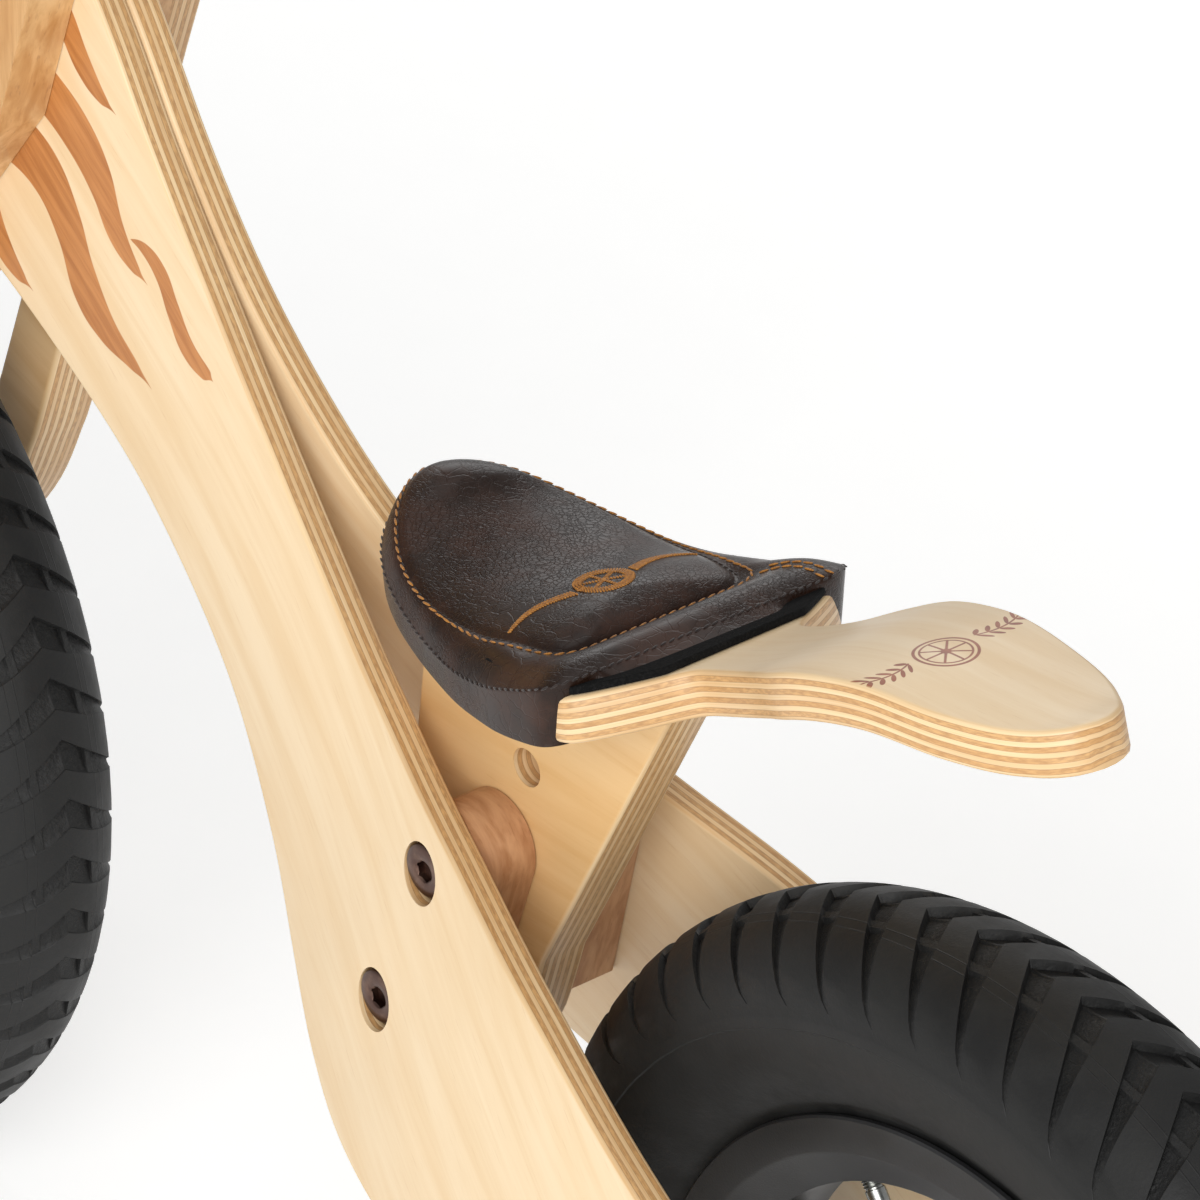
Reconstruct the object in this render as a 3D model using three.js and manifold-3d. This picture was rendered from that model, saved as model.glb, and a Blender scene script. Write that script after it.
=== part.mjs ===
// Balance bike with a bent birch-ply frame: millimetres, +X forward, +Y to the rider's left, +Z up.
// Lengths along X are first taken from the rear axle; the finished group is then centred on X.
import * as THREE from 'three';
import { mergeVertices } from 'three/addons/utils/BufferGeometryUtils.js';
import Module from 'manifold-3d';

const wasm = await Module();
wasm.setup();

// ---- driving dimensions ----
const GAP = 0.3;                 // clearance where two pieces meet
const ROUND = 32;                // facets round a wheel
const WHEELBASE = 530;
const TYRE_RADIUS = 158;
const TYRE_HALF_WIDTH = 26.5;
const BEAD_RADIUS = 101.5;
const HUB_HALF = 27;
const AXLE_RADIUS = 5;
const PANEL_THICK = 9;
const PANEL_ANGLE = 36.64 * Math.PI / 180;   // slope of the line from the rear axle to the head
const RAKE = 19.4 * Math.PI / 180;           // steering axis, leaned back from upright
const FORK_OFFSET = 41;                      // front axle ahead of the steering axis
const BLADE_INNER = 44;
const BLADE_THICK = 19;
const YOKE_THICK = 16;
const LOWER_YOKE = 196;                      // underside, measured up the steering axis
const HEAD_LOW = 216;
const HEAD_HIGH = 334;
const HEAD_BACK = -38;
const UPPER_YOKE = 338;
const BAR_HEIGHT = 420;
const BAR_HALF = 188;
const SEAT_THICK = 12;
const POST_HALF = 7.5;
const SPACER_RADIUS = 13.8;
const BOLT_HIGH = { x: 181, z: 261.5 };      // the two bolt lines through the seat post
const BOLT_LOW = { x: 194, z: 219 };
const SPARE_HOLES = [{ x: 172, z: 286.5 }, { x: 188, z: 236.5 }];

// Half width of the frame over both panels, against distance from the rear axle.
const FLARE = [[-40, 63], [40, 62.4], [100, 57.3], [160, 46.3], [207, 34.1], [250, 23.6],
  [297, 15.2], [350, 10.3], [395, 9.2], [500, 9.2]];
// Edges of a side panel: distance along the axle-to-head line, distance above it.
const PANEL_TOP = [[0, 34], [40, 31], [80, 24], [120, 14], [157, 4.8], [200, -7.5], [230, -15],
  [262, -19.5], [297, -20], [331, -16.3], [365, -9.5], [399, 0.5], [430, 12], [452, 18], [471, 19.5]];
const PANEL_FOOT = [[0, -34], [30, -40], [60, -53], [90, -70], [120, -87], [150, -101], [175, -107.5],
  [197, -106.8], [217, -101.5], [248, -91.6], [287, -83.1], [338, -80.2], [367, -82], [404, -86.6], [436, -92]];
const HEAD_EDGE = { from: 436, to: 469 };
// Seat deck: height of its upper face and its half width, both against X.
const DECK_LINE = [[-21, 391.5], [-10, 388.2], [10, 385.8], [30, 384.2], [42, 381.6], [57, 376.2], [70, 369],
  [80, 362.8], [90, 357.4], [100, 352.8], [110, 349], [118, 346.3], [125, 344.2], [138, 340.8], [150, 338.4],
  [160, 337], [172, 336.4], [185, 337], [200, 339.7], [210, 342.3], [218, 345]];
const DECK_HALF = [[-21, 2], [-18, 8], [-10, 14.5], [-2, 18.5], [8, 21.5], [18, 23.5], [30, 25], [42, 26], [57, 26.6],
  [64, 25.8], [70, 23.8], [75, 21.7], [80, 19.6], [85, 18.2], [90, 17.3], [95, 16.8], [100, 17.4], [103, 21],
  [106, 26.5], [109, 31.5], [112, 36.3], [115, 40.5], [118, 43], [125, 43.3], [138, 42.3], [150, 40], [160, 37.8],
  [172, 34.5], [185, 30.9], [195, 28], [205, 23.5], [213, 17], [218, 9]];
// Half width of the saddle pad, which wraps the deck's front.
const PAD_HALF = [[106, 37], [110, 43.5], [114, 46], [120, 46.7], [130, 46.2], [140, 45.2], [150, 43.2], [160, 41],
  [172, 37.7], [185, 34.1], [195, 31.2], [205, 26.7], [213, 20.5], [219, 12], [223, 4]];

// ---- helpers ----
function through(points, x) {
  // smooth curve through the given points, tangents from the neighbours
  const n = points.length;
  if (x <= points[0][0]) return points[0][1];
  if (x >= points[n - 1][0]) return points[n - 1][1];
  let i = 0;
  while (x > points[i + 1][0]) i += 1;
  const slope = (k) => {
    const a = points[Math.max(k - 1, 0)];
    const b = points[Math.min(k + 1, n - 1)];
    return (b[1] - a[1]) / (b[0] - a[0]);
  };
  const [x0, y0] = points[i];
  const [x1, y1] = points[i + 1];
  const w = x1 - x0;
  const t = (x - x0) / w;
  const t2 = t * t;
  const t3 = t2 * t;
  return y0 * (2 * t3 - 3 * t2 + 1) + y1 * (3 * t2 - 2 * t3)
    + w * slope(i) * (t3 - 2 * t2 + t) + w * slope(i + 1) * (t3 - t2);
}

function toManifold(geometry) {
  let g = geometry.clone();
  g.deleteAttribute('normal');
  g.deleteAttribute('uv');
  g = mergeVertices(g, 1e-4);
  const mesh = new wasm.Mesh({
    numProp: 3,
    vertProperties: new Float32Array(g.attributes.position.array),
    triVerts: new Uint32Array(g.index.array),
  });
  return new wasm.Manifold(mesh);
}

function toGeometry(solid) {
  const mesh = solid.getMesh();
  const g = new THREE.BufferGeometry();
  g.setAttribute('position', new THREE.BufferAttribute(new Float32Array(mesh.vertProperties), 3));
  g.setIndex(new THREE.BufferAttribute(new Uint32Array(mesh.triVerts), 1));
  g.computeVertexNormals();
  return g;
}

// Closed bar with a four-cornered section at every station; corners run anticlockwise seen from the far end.
function strip(stations) {
  const position = [];
  for (const corners of stations) {
    for (const c of corners) position.push(c[0], c[1], c[2]);
  }
  const index = [];
  const quad = (a, b, c, d) => index.push(a, b, c, a, c, d);
  for (let s = 0; s < stations.length - 1; s += 1) {
    const p = 4 * s;
    for (let k = 0; k < 4; k += 1) quad(p + k, p + (k + 1) % 4, p + 4 + (k + 1) % 4, p + 4 + k);
  }
  const e = 4 * (stations.length - 1);
  quad(3, 2, 1, 0);
  quad(e, e + 1, e + 2, e + 3);
  const g = new THREE.BufferGeometry();
  g.setAttribute('position', new THREE.BufferAttribute(new Float32Array(position), 3));
  g.setIndex(index);
  const solid = toManifold(g);
  if (solid.volume() > 0) return solid;
  const flipped = [];
  for (let i = 0; i < index.length; i += 3) flipped.push(index[i], index[i + 2], index[i + 1]);
  g.setIndex(flipped);
  return toManifold(g);
}

// Turned piece about a line parallel to Y through (x, z); the profile is a list of [radius, y].
function turned(profile, x = 0, z = 0, segments = 12) {
  const closed = profile[0][0] > 0;
  const points = profile.map(([r, y]) => new THREE.Vector2(r, y));
  if (closed) points.push(points[0].clone());
  const g = new THREE.LatheGeometry(points, segments);
  g.translate(x, 0, z);
  const solid = toManifold(g);
  if (solid.volume() > 0) return solid;
  const m = toManifold(new THREE.LatheGeometry(points.slice().reverse(), segments).translate(x, 0, z));
  return m;
}

function rod(radius, y0, y1, x = 0, z = 0, segments = 12) {
  return turned([[0, y0], [radius, y0], [radius, y1], [0, y1]], x, z, segments);
}

function tube(outer, inner, y0, y1, x = 0, z = 0, segments = 12) {
  return turned([[inner, y0], [outer, y0], [outer, y1], [inner, y1]], x, z, segments);
}

// The same pieces standing up: a height s above the ground is given as y = -s.
function upright(solid) {
  const g = toGeometry(solid);
  g.rotateX(-Math.PI / 2);
  return toManifold(g);
}

// Flat board: outline points in plan [x, y], from z0 up to z1.
function board(outline, z0, z1) {
  const shape = new THREE.Shape(outline.map(([x, y]) => new THREE.Vector2(x, y)));
  const g = new THREE.ExtrudeGeometry(shape, { depth: z1 - z0, bevelEnabled: false, steps: 1 });
  g.translate(0, 0, z0);
  return toManifold(g);
}

// Flat board standing along the bike: outline points [x, z], between y0 and y1.
function standing(outline, y0, y1) {
  const shape = new THREE.Shape(outline.map(([x, z]) => new THREE.Vector2(x, z)));
  const g = new THREE.ExtrudeGeometry(shape, { depth: y1 - y0, bevelEnabled: false, steps: 1 });
  g.rotateX(Math.PI / 2);
  g.translate(0, y1, 0);
  return toManifold(g);
}

function mirrorY(solid) {
  const mesh = solid.getMesh();
  const v = new Float32Array(mesh.vertProperties);
  for (let i = 1; i < v.length; i += 3) v[i] = -v[i];
  const t = new Uint32Array(mesh.triVerts);
  for (let i = 0; i < t.length; i += 3) [t[i + 1], t[i + 2]] = [t[i + 2], t[i + 1]];
  return new wasm.Manifold(new wasm.Mesh({ numProp: 3, vertProperties: v, triVerts: t }));
}

const hexSocket = (y0, y1, x, z) => rod(2.6, y0, y1, x, z, 6);

// ---- materials ----
const finish = (color, roughness, metalness) => () => new THREE.MeshStandardMaterial({ color, roughness, metalness });
const birch = finish(0xe2c79c, 0.55, 0);
const birchDark = finish(0xcfa775, 0.55, 0);
const rubber = finish(0x1c1c1c, 0.85, 0);
const nylon = finish(0x2b2b2d, 0.6, 0);
const steel = finish(0x9a9a98, 0.35, 0.9);
const bronze = finish(0x5a4a45, 0.4, 0.8);
const leatherette = finish(0x3a2a24, 0.4, 0);
const webbing = finish(0x141414, 0.9, 0);

// ---- side panels ----
const along = { x: Math.cos(PANEL_ANGLE), z: Math.sin(PANEL_ANGLE) };
const across = { x: -along.z, z: along.x };
const onPanel = (q, v) => [q * along.x + v * across.x, TYRE_RADIUS + q * along.z + v * across.z];
const alongPanel = (x, z) => x * along.x + (z - TYRE_RADIUS) * along.z;
const outerFace = (q) => Math.max(PANEL_THICK + 0.2, through(FLARE, q));
const innerFace = (q) => {
  const slope = (outerFace(q + 2) - outerFace(q - 2)) / 4;
  return outerFace(q) - PANEL_THICK * Math.hypot(1, slope);
};

function panelStations() {
  const stations = [];
  for (const q of [-33.4, -30, -24, -13, 0, 10]) stations.push(q);
  for (let q = 30; q < HEAD_EDGE.from; q += 20) stations.push(q);
  stations.push(HEAD_EDGE.from, 450, 462, HEAD_EDGE.to);
  return stations;
}

function panelEdges(q) {
  const end = Math.sqrt(Math.max(34 * 34 - q * q, 0));
  const top = q < 0 ? end : through(PANEL_TOP, q);
  if (q < 0) return [-end, top];
  if (q <= HEAD_EDGE.from) return [through(PANEL_FOOT, q), top];
  const t = (q - HEAD_EDGE.from) / (HEAD_EDGE.to + 1.5 - HEAD_EDGE.from);
  return [-92 + t * (92 + 19.5), top];
}

// Everything between two offsets from the panel's faces, over the panel's own outline or a larger one.
function panelLayer(inner, outer, spread) {
  const stations = panelStations().map((q) => {
    let [low, high] = panelEdges(q);
    low -= spread;
    high += spread;
    const a = onPanel(q, low);
    const b = onPanel(q, high);
    return [[a[0], inner(q), a[1]], [b[0], inner(q), b[1]], [b[0], outer(q), b[1]], [a[0], outer(q), a[1]]];
  });
  return strip(stations);
}

function sidePanel() {
  let panel = panelLayer(innerFace, outerFace, 0);
  for (const b of [BOLT_HIGH, BOLT_LOW]) {
    const face = outerFace(alongPanel(b.x, b.z));
    panel = panel.subtract(rod(8, face - 5, face + 20, b.x, b.z, 16));
    panel = panel.subtract(rod(3.6, 0, face, b.x, b.z));
  }
  panel = panel.subtract(rod(AXLE_RADIUS + 2 * GAP, 30, 90, 0, TYRE_RADIUS, 16));
  for (const s of HEAD_BOLTS) panel = panel.subtract(headBore(s, 3.3));
  return panel;
}

// ---- steering head, laid out on the steering axis (local z) and then leaned back ----
const forkFoot = {
  x: WHEELBASE - FORK_OFFSET * Math.cos(RAKE),
  z: TYRE_RADIUS - FORK_OFFSET * Math.sin(RAKE),
};
const HEAD_BOLTS = [264, 306];
const HEAD_BOLT_X = -25;
const HEAD_SWEEP = [[HEAD_BACK - 1, HEAD_LOW - 1], [-21, HEAD_LOW - 1], [-24, HEAD_LOW + 14], [HEAD_BACK, 274],
  [HEAD_BACK - 1, 274]];

function lean(solid) {
  const g = toGeometry(solid);
  g.rotateY(-RAKE);
  g.translate(forkFoot.x, 0, forkFoot.z);
  return toManifold(g);
}

const headBore = (s, radius) => lean(rod(radius, -40, 40, HEAD_BOLT_X, s));

function headBlock() {
  const outline = [[HEAD_BACK, -25], [0, -25]];
  for (let i = 1; i < 8; i += 1) {
    const a = -Math.PI / 2 + i * Math.PI / 8;
    outline.push([25 * Math.cos(a), 25 * Math.sin(a)]);
  }
  outline.push([0, 25], [HEAD_BACK, 25]);
  let block = board(outline, HEAD_LOW, HEAD_HIGH);
  block = block.subtract(board([[HEAD_BACK - 1, -9.5], [-14, -9.5], [-14, 9.5], [HEAD_BACK - 1, 9.5]],
    HEAD_LOW - 1, HEAD_HIGH + 1));
  block = block.subtract(upright(rod(6, -HEAD_HIGH - 1, -HEAD_LOW + 1)));
  for (const end of [[HEAD_LOW - 1, HEAD_LOW + 22], [HEAD_HIGH - 22, HEAD_HIGH + 1]]) {
    block = block.subtract(upright(rod(9.2, -end[1], -end[0], 0, 0, 16)));
  }
  for (const s of HEAD_BOLTS) {
    block = block.subtract(rod(3.6, -40, 40, HEAD_BOLT_X, s));
    block = block.subtract(rod(8, 21, 30, HEAD_BOLT_X, s));
    block = block.subtract(rod(8, -30, -21, HEAD_BOLT_X, s));
  }
  return block.subtract(standing(HEAD_SWEEP, -30, 30));
}

// Low-headed socket bolt lying along Y, head towards +Y.
function socketBolt(headY, tipY, x, z) {
  const bolt = turned([[0, tipY], [3, tipY], [3, headY], [7.4, headY], [7.4, headY + 2.4], [6.4, headY + 3.4],
    [0, headY + 3.4]], x, z);
  return bolt.subtract(hexSocket(headY + 1, headY + 5, x, z));
}

// Barrel nut with the same low head, bored for the bolt's shank.
function barrelNut(headY, x, z, length) {
  return turned([[3.3, headY], [3.3, headY + length], [4.6, headY + length], [4.6, headY + 3.4],
    [7.4, headY + 3.4], [7.4, headY + 1], [6.4, headY]], x, z);
}

function bush(low, high, flangeDown) {
  const flangeLow = flangeDown ? low - 3.4 : high;
  const body = upright(tube(8.7, AXLE_RADIUS + GAP, -high, -low, 0, 0, 16));
  return body.add(upright(tube(13, AXLE_RADIUS + GAP, -flangeLow - 3.4, -flangeLow, 0, 0, 16)));
}

function yoke(low) {
  const half = BLADE_INNER - GAP;
  const plan = [[-11, -half], [7, -half], [9, -34], [19, -18], [21, 0], [19, 18], [9, 34], [7, half], [-11, half],
    [-13, 34], [-21, 18], [-23, 0], [-21, -18], [-13, -34]];
  let plate = board(plan, low, low + YOKE_THICK);
  plate = plate.subtract(upright(rod(AXLE_RADIUS + GAP, -low - 40, -low + 20)));
  for (const side of [-1, 1]) {
    const y = [side * 16, side * 60].sort((a, b) => a - b);
    plate = plate.subtract(rod(3.3, y[0], y[1], -2, low + YOKE_THICK / 2));
  }
  return plate;
}

const BLADE_LINE = [[41, -17], [41, -8], [41, 0], [38, 14], [30, 30], [20, 45], [9, 62], [2, 80], [-1, 100], [-2, 125],
  [-2, 250], [-2, 400], [-2, 428], [-2, 434]];
const BLADE_WIDTH = [8, 29, 33, 30, 27, 25, 23, 21, 20, 20, 20, 24, 24, 14];

function forkBlade() {
  const n = BLADE_LINE.length;
  const stations = BLADE_LINE.map(([x, z], i) => {
    const a = BLADE_LINE[Math.max(i - 1, 0)];
    const b = BLADE_LINE[Math.min(i + 1, n - 1)];
    const l = Math.hypot(b[0] - a[0], b[1] - a[1]);
    const nx = (b[1] - a[1]) / l;
    const nz = -(b[0] - a[0]) / l;
    const h = BLADE_WIDTH[i] / 2;
    const y1 = BLADE_INNER + BLADE_THICK;
    return [[x - nx * h, BLADE_INNER, z - nz * h], [x + nx * h, BLADE_INNER, z + nz * h],
      [x + nx * h, y1, z + nz * h], [x - nx * h, y1, z - nz * h]];
  });
  let blade = strip(stations);
  blade = blade.subtract(rod(AXLE_RADIUS + 2 * GAP, 30, 80, FORK_OFFSET, 0, 16));
  blade = blade.subtract(rod(11.6, 30, 80, -2, BAR_HEIGHT - 8, 20));
  for (const low of [LOWER_YOKE, UPPER_YOKE]) {
    blade = blade.subtract(rod(3.3, 30, 80, -2, low + YOKE_THICK / 2));
  }
  blade = blade.subtract(upright(rod(2.3, -450, -BAR_HEIGHT + 2, -2, BLADE_INNER + BLADE_THICK / 2, 8)));
  return blade;
}

function spindle() {
  const low = LOWER_YOKE - 14;
  const high = UPPER_YOKE + YOKE_THICK + GAP;
  const body = upright(rod(AXLE_RADIUS, -high - 1, -low));
  const head = upright(turned([[0, -high - 6], [9, -high - 6], [10.5, -high - 4], [10.5, -high], [0, -high]]));
  return body.add(head).subtract(upright(rod(4, -high - 8, -high - 2, 0, 0, 6)));
}

function spindleNut() {
  const top = LOWER_YOKE - GAP;
  const hexagon = upright(rod(9, -top, -top + 9, 0, 0, 6));
  return hexagon.subtract(upright(rod(AXLE_RADIUS + 2 * GAP, -top - 1, -top + 10)));
}

function handlebar() {
  return tube(11, 9, -BAR_HALF, BAR_HALF, -2, BAR_HEIGHT - 8, 20);
}

function grip() {
  const inner = 78;
  const end = BAR_HALF + GAP;
  const profile = [[0, end], [11 + GAP, end], [11 + GAP, inner], [21, inner], [21, inner + 3], [16, inner + 7],
    [15, end - 8], [18, end - 3], [18, end + 3], [0, end + 5]];
  return turned(profile, -2, BAR_HEIGHT - 8, 20);
}

function barScrew() {
  const y = BLADE_INNER + BLADE_THICK / 2;
  const low = BAR_HEIGHT + 3.6;
  return upright(turned([[0, -435.5], [1.9, -435.5], [1.9, -low], [0, -low]], -2, y, 8));
}

// ---- seat ----
const deckTop = (x) => through(DECK_LINE, x);
const deckHalf = (x) => through(DECK_HALF, x);

function deckStations() {
  const xs = [-20.8, -18, -14, -8, 0];
  for (let x = 10; x <= 90; x += 10) xs.push(x);
  xs.push(96, 100, 104, 108, 112, 116, 120);
  for (let x = 130; x <= 200; x += 10) xs.push(x);
  xs.push(207, 212, 216, 218);
  return xs;
}

const padHalf = (x) => through(PAD_HALF, x);

// Slab following the seat line: from below to above its upper face, half as wide as half(x).
function deckLayer(below, above, half, from, to) {
  const stations = [];
  for (const x of deckStations()) {
    if (x < from || x > to) continue;
    const slope = (deckTop(x + 1) - deckTop(x - 1)) / 2;
    const l = Math.hypot(1, slope);
    const nx = -slope / l;
    const nz = 1 / l;
    const h = half(x);
    const z = deckTop(x);
    const low = [x + nx * below, z + nz * below];
    const high = [x + nx * above, z + nz * above];
    stations.push([[low[0], -h, low[1]], [low[0], h, low[1]], [high[0], h, high[1]], [high[0], -h, high[1]]]);
  }
  return strip(stations);
}

const SEAT_SCREWS = [138, 192];

function seatDeck() {
  let deck = deckLayer(-SEAT_THICK, 0, deckHalf, -30, 300);
  for (const x of SEAT_SCREWS) {
    deck = deck.subtract(screwBody(x, GAP));
  }
  return deck;
}

function screwBody(x, grow) {
  const top = deckTop(x) - 1.2 + (grow > 0 ? 6 : 0);
  const neck = deckTop(x) - 5.5 - (grow > 0 ? grow : 0);
  const tip = deckTop(x) - 45 - grow;
  const shank = 2.2 + grow;
  const head = 4.5 + grow;
  return upright(turned([[0, -top], [head, -top], [head, -neck - 2.5], [shank, -neck], [shank, -tip], [0, -tip]],
    x, 0));
}

function seatPost() {
  let post = standing([[110, 350], [206, 350], [213, 300], [220, 232], [217, 212], [209, 202], [199, 198],
    [187, 197], [178, 201], [172, 210], [165, 232.4], [119, 325.5]], -POST_HALF, POST_HALF);
  post = post.subtract(deckLayer(-SEAT_THICK - GAP, 40, () => 80, 90, 300));
  for (const b of [BOLT_HIGH, BOLT_LOW]) post = post.subtract(rod(4.6 + 2 * GAP, -20, 20, b.x, b.z));
  for (const b of SPARE_HOLES) post = post.subtract(rod(4.6 + 2 * GAP, -20, 20, b.x, b.z));
  for (const x of SEAT_SCREWS) post = post.subtract(screwBody(x, GAP));
  return post;
}

function seatSpacer() {
  const lean0 = Math.atan2(BOLT_HIGH.z - BOLT_LOW.z, BOLT_HIGH.x - BOLT_LOW.x);
  const outline = [];
  for (let i = 0; i <= 10; i += 1) {
    const a = lean0 + Math.PI / 2 - i * Math.PI / 10;
    outline.push([BOLT_HIGH.x + SPACER_RADIUS * Math.cos(a), BOLT_HIGH.z + SPACER_RADIUS * Math.sin(a)]);
  }
  for (const side of [-1, 1]) {
    const a = lean0 + side * Math.PI / 2;
    outline.push([BOLT_LOW.x + 12 * Math.cos(lean0 + Math.PI) + SPACER_RADIUS * Math.cos(a),
      BOLT_LOW.z + 12 * Math.sin(lean0 + Math.PI) + SPACER_RADIUS * Math.sin(a)]);
  }
  let spacer = standing(outline.reverse(), POST_HALF + GAP, 60);
  spacer = spacer.subtract(panelLayer((q) => innerFace(q) - GAP, () => 90, 20));
  for (const b of [BOLT_HIGH, BOLT_LOW]) spacer = spacer.subtract(rod(4.6 + 2 * GAP, 0, 70, b.x, b.z));
  return spacer;
}

function seatBolt(b) {
  const face = outerFace(alongPanel(b.x, b.z));
  return socketBolt(face - 4.7, 3, b.x, b.z);
}

function seatSleeve(b) {
  const reach = innerFace(alongPanel(b.x, b.z)) - 4;
  return tube(4.6, 3.3, -reach, reach, b.x, b.z);
}

const PAD_FROM = 106;
const PAD_WRAP_FROM = 117;        // ahead of this the pad's cap reaches down round the deck
const PAD_STATIONS = [PAD_FROM, 109, 113, 117, 120, 130, 145, 160, 175, 190, 200, 208, 214, 219, 223];

function saddlePad() {
  const stations = [];
  for (const x of PAD_STATIONS) {
    const t = Math.min(x, 217);
    const h = padHalf(x);
    const crown = 10 * Math.min(1, Math.max(0.6, 1 - ((x - 160) / 75) ** 2));
    const z = deckTop(t);
    const base = x < PAD_WRAP_FROM ? z + 2.3 : z - SEAT_THICK - 2;
    stations.push([[x, -h, base], [x, h, base], [x, h * 0.93, z + crown], [x, -h * 0.93, z + crown]]);
  }
  let pad = strip(stations);
  const pocket = deckLayer(-SEAT_THICK - GAP, GAP, (x) => deckHalf(x) + 2 * GAP, 0, 300);
  pad = pad.subtract(pocket).subtract(pocket.translate([2 * GAP, 0, 0]));
  pad = pad.subtract(deckLayer(-3, 2 + GAP, (x) => Math.max(deckHalf(x), padHalf(x) - 3), 104, 150));
  // the skirt under the deck's nose stops short of the post
  const slot = POST_HALF + 2;
  return pad.subtract(board([[90, -slot], [216, -slot], [216, slot], [90, slot]], 300, 335.5));
}

function hookLayer() {
  return deckLayer(GAP, 2, (x) => padHalf(x) - 5, 107, 150);
}

// ---- wheels, turned about the axle and then moved to (x, z) ----
function tyre() {
  const outline = [[BEAD_RADIUS + 0.8, 14.6], [107.8, 15.2], [118, 24.3], [131, TYRE_HALF_WIDTH], [148, 20.5],
    [TYRE_RADIUS, 0]];
  const profile = [];
  for (const [r, y] of outline) profile.push([r, -y]);
  for (const [r, y] of outline.slice(0, -1).reverse()) profile.push([r, y]);
  const inside = [[BEAD_RADIUS + 0.8, 9], [109, 12.5], [131, 22.8], [146, 16.5], [153.5, 0]];
  for (const [r, y] of inside) profile.push([r, y]);
  for (const [r, y] of inside.slice(0, -1).reverse()) profile.push([r, -y]);
  return turned(profile, 0, 0, ROUND);
}

function rim() {
  const ring = turned([[88, -12], [97, -18.2], [107, -18.2], [107, -15.8], [101.2, -15.3], [95, 0], [101.2, 15.3],
    [107, 15.8], [107, 18.2], [97, 18.2], [88, 12]], 0, 0, ROUND);
  let wheel = ring.add(rod(21, -HUB_HALF, HUB_HALF, 0, 0, 16));
  const spokes = 5;
  for (let i = 0; i < spokes; i += 1) {
    const spoke = toGeometry(standing([[14, -9], [91, -13], [91, 13], [14, 9]], -5, 5));
    spoke.rotateY(i * 2 * Math.PI / spokes);
    wheel = wheel.add(toManifold(spoke));
  }
  wheel = wheel.subtract(rod(8, -40, 40, 0, 0, 12));
  for (const side of [-1, 1]) {
    const y = [side * (HUB_HALF - 8.3), side * 40].sort((a, b) => a - b);
    wheel = wheel.subtract(rod(14 + GAP, y[0], y[1], 0, 0, 16));
  }
  return wheel.subtract(valveBody(GAP));
}

function valveBody(grow) {
  const g = toGeometry(upright(rod(3 + grow, -94 - grow * 9, -76 + grow * 20, 0, 0, 8)));
  g.rotateY(Math.PI / 5);
  return toManifold(g);
}

const bearing = () => tube(14, AXLE_RADIUS + GAP, HUB_HALF - 8, HUB_HALF, 0, 0, 16);
const axleSpacer = (outer) => tube(8.5, AXLE_RADIUS + GAP, HUB_HALF + GAP, outer - GAP);
const axle = (half) => rod(AXLE_RADIUS, -half, half);

function domeNut(face) {
  const y = face + GAP;
  const flange = rod(10.5, y, y + 2.2);
  const cap = turned([[0, y + 1], [8.6, y + 1], [8.6, y + 7], [5, y + 10.5], [0, y + 11.5]], 0, 0, 6);
  return flange.add(cap).subtract(rod(AXLE_RADIUS + 2 * GAP, y - 1, y + 8));
}

// ---- assembly ----
const bike = new THREE.Group();
bike.name = 'balance_bike';
const rearWheel = new THREE.Group();
rearWheel.name = 'rear_wheel';
rearWheel.position.set(0, 0, TYRE_RADIUS);
const fork = new THREE.Group();
fork.name = 'fork';
fork.rotation.y = -RAKE;
fork.position.set(forkFoot.x, 0, forkFoot.z);
const frontWheel = new THREE.Group();
frontWheel.name = 'front_wheel';
frontWheel.position.set(FORK_OFFSET, 0, 0);
frontWheel.rotation.y = RAKE;
fork.add(frontWheel);

function put(group, name, solid, material) {
  const mesh = new THREE.Mesh(toGeometry(solid), material());
  mesh.name = name;
  group.add(mesh);
}

function pair(group, name, solid, material) {
  put(group, `${name}_left`, solid, material);
  put(group, `${name}_right`, mirrorY(solid), material);
}

const panel = sidePanel();
pair(bike, 'side_panel', panel, birch);
pair(bike, 'seat_spacer', seatSpacer(), birchDark);
put(bike, 'seat_post_plate', seatPost(), birch);
put(bike, 'seat_deck', seatDeck(), birch);
put(bike, 'saddle_pad', saddlePad(), leatherette);
put(bike, 'hook_and_loop_layer', hookLayer(), webbing);
SEAT_SCREWS.forEach((x, i) => put(bike, `seat_screw_${i ? 'front' : 'rear'}`, screwBody(x, 0), steel));
for (const [name, b] of [['upper', BOLT_HIGH], ['lower', BOLT_LOW]]) {
  pair(bike, `seat_bolt_${name}`, seatBolt(b), bronze);
  put(bike, `seat_sleeve_${name}`, seatSleeve(b), steel);
}
put(bike, 'head_block', lean(headBlock()), birchDark);
HEAD_BOLTS.forEach((s, i) => {
  const name = i ? 'upper' : 'lower';
  put(bike, `head_bolt_${name}`, lean(socketBolt(21.3, -16, HEAD_BOLT_X, s)), bronze);
  put(bike, `head_nut_${name}`, lean(barrelNut(-24.7, HEAD_BOLT_X, s, 3.4)), bronze);
});
put(bike, 'steering_bush_lower', lean(bush(HEAD_LOW - GAP, HEAD_LOW + 21, true)), nylon);
put(bike, 'steering_bush_upper', lean(bush(HEAD_HIGH - 21, HEAD_HIGH + GAP, false)), nylon);

pair(fork, 'fork_blade', forkBlade(), birch);
for (const [name, low] of [['lower', LOWER_YOKE], ['upper', UPPER_YOKE]]) {
  put(fork, `yoke_${name}`, yoke(low), birchDark);
  const headY = BLADE_INNER + BLADE_THICK + GAP;
  pair(fork, `yoke_bolt_${name}`, socketBolt(headY, 18, -2, low + YOKE_THICK / 2), bronze);
}
put(fork, 'steering_spindle', spindle(), steel);
put(fork, 'steering_nut', spindleNut(), steel);
put(fork, 'handlebar', handlebar(), steel);
pair(fork, 'grip', grip(), rubber);
pair(fork, 'bar_screw', barScrew(), steel);

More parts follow.
